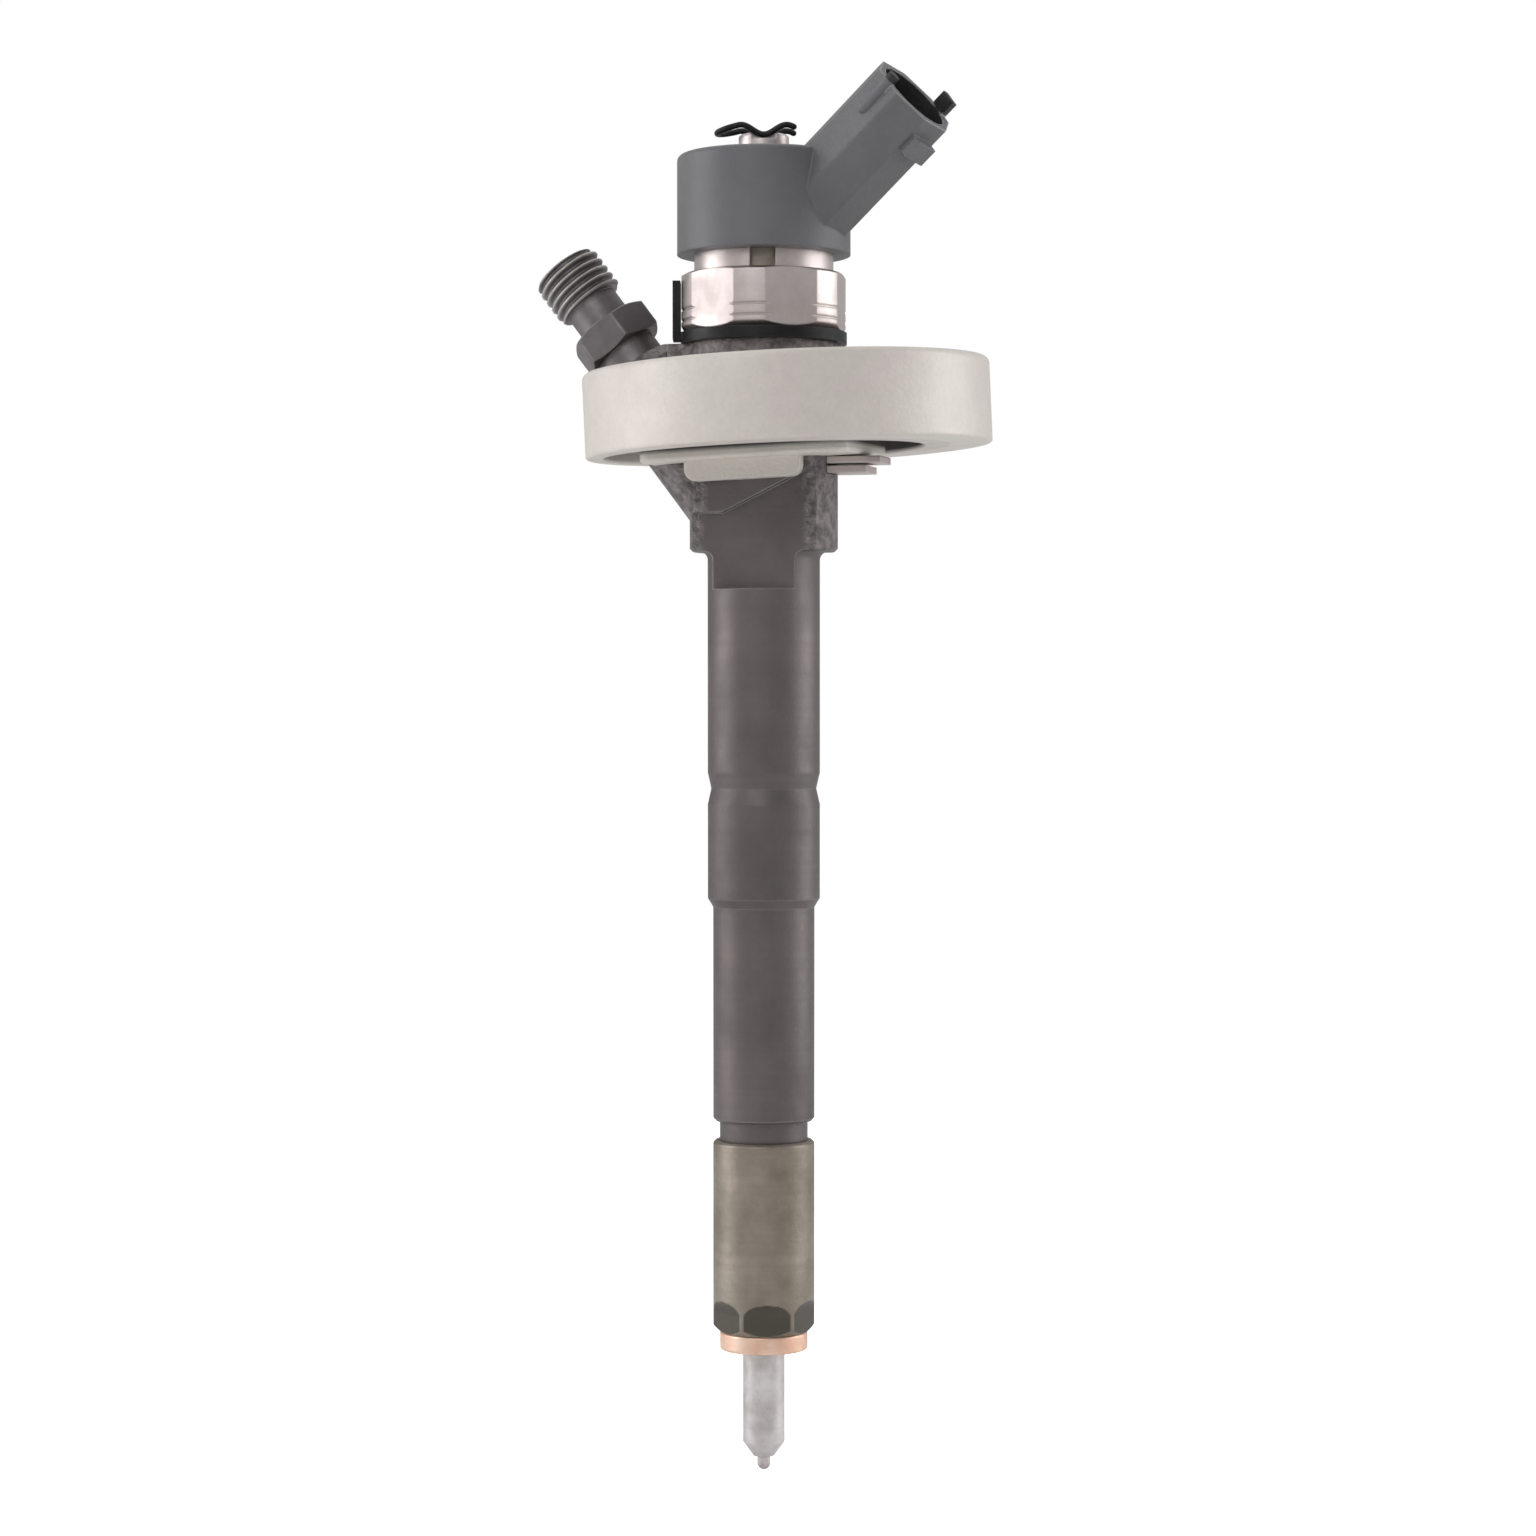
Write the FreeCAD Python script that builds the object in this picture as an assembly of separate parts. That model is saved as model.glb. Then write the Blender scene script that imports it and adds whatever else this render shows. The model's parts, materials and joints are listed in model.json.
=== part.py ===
import FreeCAD, Part
import math
import os

# Solenoid diesel fuel injector for a common rail, in millimetres.
# +Z runs up the injector from the nozzle to the coil. Z = 0 is the sealing face under the
# copper washer. The fuel inlet leans towards -X and the electric socket towards +X.

# Clearances, edges and round counts that many pieces share
RUNNING_CLEARANCE = 0.02
SLIP_CLEARANCE = 0.05
THREAD_EDGE = 0.5
HEX_SIDES = 6
ARC_STEPS = 6
FAR = 60.0

# Stem of the body
STEM_R = 8.5
NECK_LENGTH = 3.2
NECK_STEP = 0.12
LOWER_STEM_LENGTH = 35.8
UPPER_STEM_STEP = 0.9
UPPER_STEM_LENGTH = 59.5
STEP_LENGTH = 1.5
GROOVE_RISE = 19.9
GROOVE_DEPTH = 0.6
GROOVE_REACH = 2.65

# Head of the body
HEAD_R = 12.4
HEAD_LENGTH = 34.6
HEAD_FILLET = 1.4
LEDGE_DROP = 6.4
FLAT_OFFSET = 6.2
PAD_STEP = 1.2
PAD_RISE = 6.3
PAD_TOP_RISE = 16.8
PAD_TURN_X = -5.1
PAD_SLOPE = 0.485
COIL_THREAD_STEP = 0.6
COIL_THREAD_LENGTH = 6.7

# Passages in the body
SPRING_BORE_R = 3.25
SPRING_BORE_LENGTH = 23.0
PISTON_BORE_R = 2.6
VALVE_BORE_R = 3.8
VALVE_BORE_LENGTH = 15.4
GALLERY_R = 4.6
GALLERY_DEPTH = 11.0
GALLERY_LENGTH = 5.5
CHAMBER_WALL = 3.9
CHAMBER_DEPTH = 16.3
CHAMBER_RISE = 1.3
FEED_R = 0.9
FEED_WALL = 1.95
FEED_LEAN = 1.25
FEED_DROP = 1.0
LEAK_R = 0.8
LEAK_LENGTH = 32.0
LEAK_TOP_X = 7.2

# Inlet boss and adapter, measured along the leaning inlet axis
INLET_DEPTH = 15.7
INLET_LEAN = 37.5
BOSS_R = 8.4
BOSS_END = 36.0
BOSS_SLOPE = 2.2
BOSS_SLOPE_R = 6.6
WEB_LENGTH = 15.0
WEB_HALF_WIDTH = 6.0
INLET_DRILL_R = 1.2
INLET_DRILL_START = 7.0
SOCKET_DEPTH = 10.0
ADAPTER_NECK_R = 5.3
ADAPTER_NECK_LENGTH = 3.8
ADAPTER_HEX = 13.0
ADAPTER_HEX_LENGTH = 5.4
ADAPTER_HEX_TURN = 25.0
RELIEF_R = 4.6
RELIEF_LENGTH = 4.8
INLET_THREAD_R = 6.0
INLET_THREAD_LENGTH = 7.7
INLET_CONE_R = 3.6
INLET_CONE_DEPTH = 2.4
FILTER_BORE_R = 2.2
FILTER_LENGTH = 16.0
FILTER_SLOT_DEPTH = 0.8
FILTER_SLOT_WIDTH = 0.5
FILTER_LAND = 2.0

# Nozzle
SHANK_R = 3.5
SHANK_LENGTH = 15.6
SHANK_RELIEF_R = 3.3
SHOULDER_Z = 5.5
BARREL_LENGTH = 16.5
TIP_R = 1.8
TIP_CONE_LENGTH = 2.4
TIP_LENGTH = 2.4
SAC_R = 1.1
SAC_STEP = 0.2
SAC_WALL = 0.6
NEEDLE_R = 2.0
NEEDLE_STEM_R = 1.3
NEEDLE_STEM_BORE_R = 1.9
NEEDLE_EDGE = 0.5
NEEDLE_POINT = 0.3
NEEDLE_PIN_R = 1.2
NEEDLE_PIN_LENGTH = 2.2
NEEDLE_LIFT = 0.25
NEEDLE_SEAT_GAP = 0.05
FUEL_POCKET_R = 3.2
FUEL_POCKET_RISE = 1.0
FUEL_POCKET_LENGTH = 4.0
FUEL_POCKET_SLOPE = 1.0
SEAT_RISE = 0.4
SEAT_END_R = 0.45
SPRAY_HOLES = 6
SPRAY_HOLE_R = 0.1
SPRAY_TURN = 30.0
SPRAY_DROP = 20.0
DOWEL_R = 0.9
DOWEL_WALL = 1.9
DOWEL_DEPTH = 2.6
DOWEL_TURNS = (55.0, -80.0)

# Nozzle nut and washer
NUT_THREAD_LENGTH = 13.2
NUT_WALL = 1.25
NUT_HOLE_R = 3.75
NUT_BOTTOM_EDGE = 1.1
NUT_TOP_EDGE = 0.5
NUT_FLATS = 15.0
NUT_FLATS_TOP = 5.5
NUT_FLATS_TURN = -10.0
NUT_FLAT_RUNOUT = 3.0
WASHER_THICKNESS = 3.0
WASHER_STEP = 1.15
WASHER_BORE_R = 3.75
WASHER_EDGE = 0.35

# Nozzle spring, its seats, and the control piston
SEAT_DISC_R = 3.1
SEAT_DISC_THICKNESS = 1.8
SEAT_BOSS_R = 1.9
SEAT_BOSS_LENGTH = 2.0
NOZZLE_SPRING_R = 2.6
NOZZLE_SPRING_WIRE_R = 0.5
NOZZLE_SPRING_TURNS = 9
SHIM_THICKNESS = 1.8
SHIM_BORE_R = 2.3
PISTON_ROD_R = 1.95
PISTON_R = 2.15
PISTON_HEAD_LENGTH = 14.0
PISTON_EDGE = 0.5

# Control valve
SEAL_THICKNESS = 1.7
SEAL_BORE_R = 2.7
VALVE_STEM_EDGE = 0.5
VALVE_WAIST_R = 3.2
VALVE_CHAMBER_DROP = 0.8
VALVE_FLANGE = 4.0
VALVE_SEAT_RISE = 0.6
VALVE_SEAT_BOSS_R = 2.0
FEED_THROTTLE_R = 0.15
DRAIN_THROTTLE_R = 0.2
DRAIN_THROTTLE_DEPTH = 1.6
DRAIN_DRILL_R = 0.5
DRAIN_DRILL_DEPTH = 2.0
BALL_R = 0.675
BALL_RISE = 0.3
BALL_SEAT_R = 0.75
BALL_SEAT_DEPTH = 0.4
LIFT_SHIM_THICKNESS = 1.0
LIFT_SHIM_WIDTH = 1.9
GUIDE_PLATE = 3.0
GUIDE_NECK_R = 2.9
GUIDE_NECK_LENGTH = 4.0
GUIDE_POCKET_R = 2.8
GUIDE_HOLES = 4
GUIDE_HOLE_RADIUS = 4.1
SCREW_LENGTH = 5.0
SCREW_BORE_R = 5.2
SCREW_SLOT = 2.0
SCREW_SLOT_DEPTH = 1.5

# Armature
HOLDER_R = 1.4
HOLDER_RISE = 0.1
HOLDER_LENGTH = 1.2
BOLT_R = 1.45
BOLT_CLEARANCE = 0.025
BOLT_FOOT_R = 2.2
BOLT_FOOT_LENGTH = 0.7
BOLT_TOP_RISE = 2.5
VALVE_LIFT = 0.05
CLIP_THICKNESS = 0.6
CLIP_R = 2.25
CLIP_NECK_R = 1.15
CLIP_GAP = 1.6
ARMATURE_STEP = 0.8
ARMATURE_THICKNESS = 1.6
ARMATURE_RISE = 0.9
ARMATURE_HUB_R = 2.4
ARMATURE_HUB_LENGTH = 2.1
ARMATURE_HOLES = 6
ARMATURE_HOLE_R = 0.9
ARMATURE_HOLE_RADIUS = 5.6
OVERTRAVEL_SPRING_R = 3.6
OVERTRAVEL_WIRE_R = 0.4
OVERTRAVEL_TURNS = 4
VALVE_SPRING_R = 1.95
VALVE_SPRING_WIRE_R = 0.35
VALVE_SPRING_TURNS = 9
SPRING_SHIM_THICKNESS = 1.0
SPRING_SHIM_BORE_R = 1.0

# Solenoid
AIR_GAP = 0.15
SLEEVE_STEP = 2.0
SLEEVE_FOOT_STEP = 0.5
SLEEVE_WALL = 1.4
SLEEVE_FOOT_RISE = 0.2
SLEEVE_FLANGE_STEP = 0.3
SLEEVE_FLANGE = 2.6
SLEEVE_GRIP = 1.8
CORE_SINK = 0.2
CORE_BORE_R = 2.8
CORE_WALL = 1.8
COIL_POCKET_IN_R = 4.6
COIL_POCKET_DEPTH = 8.4
BOBBIN_WALL = 0.5
WINDING_GAP = 0.15
LEAD_R = 0.7
LEAD_RADIUS = 5.54
LEAD_SPACING = 4.0
O_RING_R = 0.48
O_RING_GROOVE = 1.1
SOLENOID_NUT_STEP = 1.5
SOLENOID_NUT_FLATS = 26.3
SOLENOID_NUT_TURN = 6.0
SOLENOID_NUT_LIP = 2.4
SOLENOID_NUT_EDGE = 0.9
SOLENOID_NUT_GROOVE = 0.3
SOLENOID_NUT_GROOVE_RISES = (1.8, 3.6)
SOLENOID_NUT_FIT = 0.1
LOCK_WASHER_THICKNESS = 1.9
LOCK_TAB_THICKNESS = 1.3
LOCK_TAB_WIDTH = 6.0
LOCK_TAB_DROP = 1.3
LOCK_TAB_TURN = 196.0
LOCK_TAB_RISE = 0.7
GUARD_RING_WIDTH = 1.25
GUARD_RING_HEIGHT = 3.2
GUARD_RING_SLOT = 4.2
GUARD_RING_TURN = -75.0
HOUSING_R = 14.5
HOUSING_HEIGHT = 16.6
HOUSING_EDGE = 1.0
HOUSING_SPIGOT_OVERLAP = 1.0

# Electric socket, measured along its leaning axis
PLUG_RISE = 0.1
PLUG_LEAN = 49.0
PLUG_TURN = -12.0
PLUG_END = 37.0
PLUG_START = 5.0
PLUG_SIDES = 8
PLUG_CORNER_R = 8.0
PLUG_ROLL = -15.0
PLUG_EDGE = 0.8
PLUG_WALL = 0.99
PLUG_DEPTH = 12.5
PIN_WIDTH = 2.8
PIN_THICKNESS = 0.8
PIN_SINK = 5.5
KEY_RIB_R = 1.0
KEY_RIB_ROLL = -105.0
KEY_RIB_LENGTH = 6.0
KEY_RIB_REACH = 1.4
RIB_SINK = 0.1
LATCH_ROLL = -15.0
LATCH_WIDTH = 4.6
LATCH_HEIGHT = 1.9
LATCH_SINK = 6.6
LATCH_LENGTH = 3.4
GUIDE_POST_ROLL = 75.0
GUIDE_POST_WIDTH = 3.2
GUIDE_POST_SINK = 4.0
GUIDE_POST_REACH = 2.8

# Return port and its wire clip
PORT_R = 4.2
PORT_COLLAR = 3.4
PORT_EDGE = 0.3
PORT_STEM_R = 3.4
PORT_STEM_RISE = 3.8
PORT_SPRING_POCKET = 1.2
PORT_SPRING_BORE_R = 2.6
PORT_BORE_R = 1.5
PORT_NOTCH_HALF_WIDTH = 2.0
PORT_NOTCH_DEPTH = 1.0
PORT_NOTCH_Y = 2.5
WIRE_R = 0.5
WIRE_TURN = 16.0
WIRE_Y = 3.3
WIRE_FRONT = 5.0
WIRE_BACK = -4.5
WIRE_ARCH = 7.6
WIRE_DIP = 1.6
WIRE_BOW_DROP = 0.8
WIRE_GAP = 0.2
WIRE_STEPS = 12
BOW_STEPS = 8

# Sealing cap round the head
CAP_R = 34.0
CAP_THICKNESS = 14.2
CAP_X = 4.4
CAP_DROP = 18.1
CAP_TILT_SIDE = 2.3
CAP_TILT_NEAR = 1.2
CAP_EDGE = 1.15
CAP_RIM_EDGE = 0.5
CAP_FLOOR = 5.2
CAP_RIM_WALL = 7.3
HUB_HALF_LENGTH = 18.0
HUB_HALF_WIDTH = 14.0
HUB_DROP = 1.3
HUB_CORNER = 2.5
HUB_EDGE = 0.7
TONGUE_X = -1.0
TONGUE_WIDTH = 19.7
TONGUE_OUT = 10.5
TONGUE_DROP = 4.6
TONGUE_CORNER = 2.0
KEY_DROP = 1.0
KEY_SHEET = 1.15
KEY_GAP = 0.4
KEY_WIDTH = 7.0
KEY_REACH = 8.6
KEY_INSET = 2.9
KEY_STEP = 2.4
KEY_FIT = 0.1

# Sizes that follow from the ones above: nozzle, nut and stem, from the washer's face up
ORIGIN = FreeCAD.Vector(0, 0, 0)
UP = FreeCAD.Vector(0, 0, 1)
ARC_STEP = 90 / ARC_STEPS
SHANK_Z = -SHANK_LENGTH
TIP_Z = SHANK_Z - TIP_CONE_LENGTH
NOZZLE_TIP_Z = TIP_Z - TIP_LENGTH
SEAT_TOP_Z = SHANK_Z + SEAT_RISE
SEAT_END_Z = TIP_Z - SEAT_RISE
FUEL_POCKET_Z = SHOULDER_Z + FUEL_POCKET_RISE
FUEL_POCKET_TOP_Z = FUEL_POCKET_Z + FUEL_POCKET_LENGTH
NOZZLE_TOP_Z = SHOULDER_Z + BARREL_LENGTH
NUT_TOP_Z = NOZZLE_TOP_Z + NUT_THREAD_LENGTH
NUT_BORE_R = STEM_R - NUT_WALL
NECK_R = NUT_BORE_R + NECK_STEP
WASHER_R = STEM_R - WASHER_STEP
DOWEL_RADIUS = NUT_BORE_R - DOWEL_WALL
FEED_X = FEED_WALL - NUT_BORE_R
FEED_TOP_X = FEED_X - FEED_LEAN
STEM_Z = NUT_TOP_Z + NECK_LENGTH
STEP_Z = STEM_Z + LOWER_STEM_LENGTH
UPPER_STEM_R = STEM_R + UPPER_STEM_STEP
GROOVE_Z = STEP_Z + GROOVE_RISE
SPRING_BORE_TOP_Z = NOZZLE_TOP_Z + SPRING_BORE_LENGTH
SEAT_DISC_Z = NOZZLE_TOP_Z + NEEDLE_PIN_LENGTH
NOZZLE_SPRING_Z = SEAT_DISC_Z + SEAT_DISC_THICKNESS
PISTON_Z = NOZZLE_SPRING_Z + SEAT_BOSS_LENGTH

# Head, and the chamber for the control valve inside it
HEAD_Z = STEP_Z + UPPER_STEM_LENGTH
HEAD_TOP_Z = HEAD_Z + HEAD_LENGTH
LEDGE_Z = HEAD_Z - LEDGE_DROP
PAD_OFFSET = FLAT_OFFSET + PAD_STEP
PAD_Z = HEAD_Z + PAD_RISE
PAD_TOP_Z = HEAD_Z + PAD_TOP_RISE
COIL_THREAD_R = HEAD_R - COIL_THREAD_STEP
COIL_THREAD_TOP_Z = HEAD_TOP_Z + COIL_THREAD_LENGTH
CHAMBER_R = HEAD_R - CHAMBER_WALL
CHAMBER_Z = HEAD_TOP_Z - CHAMBER_DEPTH
CHAMBER_TOP_Z = HEAD_TOP_Z + CHAMBER_RISE
VALVE_BORE_Z = CHAMBER_Z - VALVE_BORE_LENGTH
GALLERY_Z = CHAMBER_Z - GALLERY_DEPTH
GALLERY_TOP_Z = GALLERY_Z + GALLERY_LENGTH
FEED_TOP_Z = GALLERY_TOP_Z - FEED_DROP
LEAK_Z = CHAMBER_Z - LEAK_LENGTH
INLET_Z = CHAMBER_Z - INLET_DEPTH
VALVE_CHAMBER_TOP_Z = CHAMBER_Z - VALVE_CHAMBER_DROP
PISTON_TOP_Z = VALVE_CHAMBER_TOP_Z - NEEDLE_LIFT
SEAT_FACE_Z = CHAMBER_Z + VALVE_FLANGE + VALVE_SEAT_RISE
BALL_Z = SEAT_FACE_Z + BALL_RISE
HOLDER_Z = BALL_Z + HOLDER_RISE
BOLT_Z = HOLDER_Z + HOLDER_LENGTH
LIFT_SHIM_Z = CHAMBER_Z + VALVE_FLANGE
GUIDE_Z = LIFT_SHIM_Z + LIFT_SHIM_THICKNESS
SCREW_Z = GUIDE_Z + GUIDE_PLATE
ARMATURE_TOP_Z = CHAMBER_TOP_Z + ARMATURE_RISE
ARMATURE_Z = ARMATURE_TOP_Z - ARMATURE_THICKNESS
BOLT_TOP_Z = ARMATURE_TOP_Z + BOLT_TOP_RISE

# Solenoid, electric housing and return port, each standing on the one below
SLEEVE_R = HEAD_R - SLEEVE_STEP
SLEEVE_SPIGOT_R = SLEEVE_R - SLEEVE_FOOT_STEP
SLEEVE_FLANGE_R = COIL_THREAD_R - SLEEVE_FLANGE_STEP
SLEEVE_BASE_Z = CHAMBER_TOP_Z + SLEEVE_FOOT_RISE
SLEEVE_FLANGE_TOP_Z = COIL_THREAD_TOP_Z + SLEEVE_FLANGE
SOLENOID_NUT_R = HEAD_R + SOLENOID_NUT_STEP
SOLENOID_NUT_Z = HEAD_TOP_Z + LOCK_WASHER_THICKNESS
SOLENOID_NUT_TOP_Z = SLEEVE_FLANGE_TOP_Z + SOLENOID_NUT_LIP
LOCK_TAB_TOP_Z = SOLENOID_NUT_TOP_Z - LOCK_TAB_DROP
GUARD_RING_R = SLEEVE_R + GUARD_RING_WIDTH
HOUSING_Z = SOLENOID_NUT_TOP_Z + GUARD_RING_HEIGHT
HOUSING_TOP_Z = HOUSING_Z + HOUSING_HEIGHT
SLEEVE_TOP_Z = HOUSING_Z + SLEEVE_GRIP
CORE_R = SLEEVE_R - SLEEVE_WALL
CORE_Z = ARMATURE_TOP_Z + AIR_GAP
CORE_TOP_Z = HOUSING_Z - CORE_SINK
COIL_POCKET_OUT_R = CORE_R - CORE_WALL
POCKET_TOP_Z = CORE_Z + COIL_POCKET_DEPTH
ARMATURE_R = CORE_R - ARMATURE_STEP
PORT_STEM_Z = HOUSING_Z + PORT_STEM_RISE
PORT_TOP_Z = HOUSING_TOP_Z + PORT_COLLAR
VALVE_SPRING_Z = ARMATURE_TOP_Z + CLIP_THICKNESS
VALVE_SPRING_TOP_Z = PORT_STEM_Z + PORT_SPRING_POCKET
SPRING_SHIM_TOP_Z = VALVE_SPRING_TOP_Z + SPRING_SHIM_THICKNESS

# Inlet, socket and cap
SOCKET_START = BOSS_END - SOCKET_DEPTH
ADAPTER_HEX_START = BOSS_END + ADAPTER_NECK_LENGTH
RELIEF_START = ADAPTER_HEX_START + ADAPTER_HEX_LENGTH
THREAD_START = RELIEF_START + RELIEF_LENGTH
INLET_END = THREAD_START + INLET_THREAD_LENGTH
FILTER_END = INLET_END - INLET_CONE_DEPTH
FILTER_START = FILTER_END - FILTER_LENGTH
PLUG_Z = HOUSING_Z + PLUG_RISE
PLUG_FLAT_R = PLUG_CORNER_R * math.cos(math.pi / PLUG_SIDES)
PLUG_BORE_R = PLUG_FLAT_R - PLUG_WALL
CAP_Z = HEAD_TOP_Z - CAP_DROP
CAP_HOLLOW_R = CAP_R - CAP_RIM_WALL
CAP_HOLLOW_DEPTH = CAP_THICKNESS - CAP_FLOOR
KEY_TOP_Z = CAP_Z - KEY_DROP
KEY_LOW_Z = KEY_TOP_Z - 2 * KEY_SHEET - KEY_GAP
KEY_START = HEAD_R - KEY_INSET
KEY_END = HEAD_R + KEY_REACH


def turned(points):
    """A solid of revolution about Z from (radius, z) points."""
    corners = [FreeCAD.Vector(r, 0, z) for r, z in points]
    outline = Part.makePolygon(corners + corners[:1])
    return Part.Face(outline).revolve(ORIGIN, UP, 360)


def rod(radius, low, high):
    return Part.makeCylinder(radius, high - low, FreeCAD.Vector(0, 0, low))


def ring(outer, inner, low, high):
    return rod(outer, low, high).cut(rod(inner, low, high))


def around(radius, turn, z=0.0):
    angle = math.radians(turn)
    return FreeCAD.Vector(radius * math.cos(angle), radius * math.sin(angle), z)


def along_x(x, z):
    return FreeCAD.Vector(x, 0, z)


def drilling(radius, start, end):
    """A straight cylinder of the given radius from one point to another."""
    way = end - start
    return Part.makeCylinder(radius, way.Length, start, way)


def hexagon(across_flats, low, high, turn=0.0):
    """A six-sided bar whose first flat faces the direction turn degrees from +X."""
    corner_r = across_flats / 2 / math.cos(math.pi / HEX_SIDES)
    corners = []
    for side in range(HEX_SIDES + 1):
        corners.append(around(corner_r, turn + 360 / HEX_SIDES * (side + 0.5), low))
    return Part.Face(Part.makePolygon(corners)).extrude(UP * (high - low))


def block(x_low, x_high, y_low, y_high, z_low, z_high):
    corner = FreeCAD.Vector(x_low, y_low, z_low)
    return Part.makeBox(x_high - x_low, y_high - y_low, z_high - z_low, corner)


def leaning(shape, height, lean, turn):
    """Carries a shape built along +Z from z = 0 onto an axis that leans and turns."""
    moved = shape.copy()
    moved.rotate(ORIGIN, FreeCAD.Vector(0, 1, 0), lean)
    moved.rotate(ORIGIN, UP, turn)
    moved.translate(FreeCAD.Vector(0, 0, height))
    return moved


def on_inlet(shape):
    return leaning(shape, INLET_Z, INLET_LEAN, 180)


def on_plug(shape):
    return leaning(shape, PLUG_Z, PLUG_LEAN, PLUG_TURN)


def coil_spring(mean_r, wire_r, low, high, turns):
    """A round-wire compression spring that stands between two z levels."""
    height = high - low - 2 * wire_r
    helix = Part.makeHelix(height / turns, height, mean_r)
    section = Part.makeCircle(wire_r, along_x(mean_r, 0), FreeCAD.Vector(0, 1, 0))
    spring = Part.Wire(helix).makePipeShell([Part.Wire(section)], True, True)
    spring.translate(FreeCAD.Vector(0, 0, low + wire_r))
    return spring


def flat_cutters(offset, low, outline_top):
    """Two cutters that mill the head to a flat on each side, under a stepped upper edge."""
    cutters = []
    for side in (1, -1):
        corners = [FreeCAD.Vector(x, side * offset, z) for x, z in outline_top]
        corners += [FreeCAD.Vector(FAR, side * offset, low), FreeCAD.Vector(-FAR, side * offset, low)]
        face = Part.Face(Part.makePolygon(corners + corners[:1]))
        cutters.append(face.extrude(FreeCAD.Vector(0, side * FAR, 0)))
    return cutters


def stem_and_head():
    """The turned outside of the body, from the nozzle face up to the coil thread."""
    groove_low = GROOVE_Z - GROOVE_REACH
    groove_high = GROOVE_Z + GROOVE_REACH
    fillet_points = []
    for step in range(ARC_STEPS + 1):
        angle = math.radians(ARC_STEP * step)
        r = UPPER_STEM_R + HEAD_FILLET * (1 - math.cos(angle))
        fillet_points.append((r, HEAD_Z - HEAD_FILLET * (1 - math.sin(angle))))
    outline = [
        (0, NOZZLE_TOP_Z),
        (NUT_BORE_R, NOZZLE_TOP_Z),
        (NUT_BORE_R, NUT_TOP_Z),
        (NECK_R, NUT_TOP_Z),
        (NECK_R, STEM_Z),
        (STEM_R - THREAD_EDGE, STEM_Z),
        (STEM_R, STEM_Z + THREAD_EDGE),
        (STEM_R, STEP_Z),
        (UPPER_STEM_R, STEP_Z + STEP_LENGTH),
        (UPPER_STEM_R, groove_low),
        (UPPER_STEM_R - GROOVE_DEPTH, GROOVE_Z),
        (UPPER_STEM_R, groove_high),
    ]
    outline += fillet_points
    outline += [
        (HEAD_R - THREAD_EDGE, HEAD_Z),
        (HEAD_R, HEAD_Z + THREAD_EDGE),
        (HEAD_R, HEAD_TOP_Z),
        (COIL_THREAD_R, HEAD_TOP_Z),
        (COIL_THREAD_R, COIL_THREAD_TOP_Z),
        (0, COIL_THREAD_TOP_Z),
    ]
    return turned(outline)


def inlet_boss():
    """The leaning boss that the inlet adapter screws into, with the web that ties it to the head."""
    slope_start = BOSS_END - BOSS_SLOPE
    boss = turned([(0, 0), (BOSS_R, 0), (BOSS_R, slope_start), (BOSS_SLOPE_R, BOSS_END), (0, BOSS_END)])
    web = block(-WEB_LENGTH, 0, -WEB_HALF_WIDTH, WEB_HALF_WIDTH, PAD_TOP_Z, HEAD_TOP_Z)
    return on_inlet(boss).fuse(web).cut(lock_washer_blank())


def pad_edge_z(x):
    return PAD_Z + PAD_SLOPE * (x - PAD_TURN_X)


def body_outside():
    pad_edge = [(-FAR, PAD_Z), (PAD_TURN_X, PAD_Z), (FAR, pad_edge_z(FAR))]
    body = stem_and_head().fuse(inlet_boss())
    body = body.cut(flat_cutters(PAD_OFFSET, LEDGE_Z, [(-FAR, PAD_TOP_Z), (FAR, PAD_TOP_Z)]))
    top = block(-FAR, FAR, -FAR, FAR, PAD_TOP_Z, PAD_TOP_Z + FAR)
    for cutter in flat_cutters(FLAT_OFFSET, LEDGE_Z, pad_edge):
        body = body.cut(cutter.cut(top))
    return body.removeSplitter()


def dowels():
    """Two pins that line the nozzle up with the body."""
    pins = []
    for turn in DOWEL_TURNS:
        centre = around(DOWEL_RADIUS, turn, NOZZLE_TOP_Z - DOWEL_DEPTH)
        pins.append(Part.makeCylinder(DOWEL_R, 2 * DOWEL_DEPTH, centre))
    return Part.makeCompound(pins)


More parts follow.
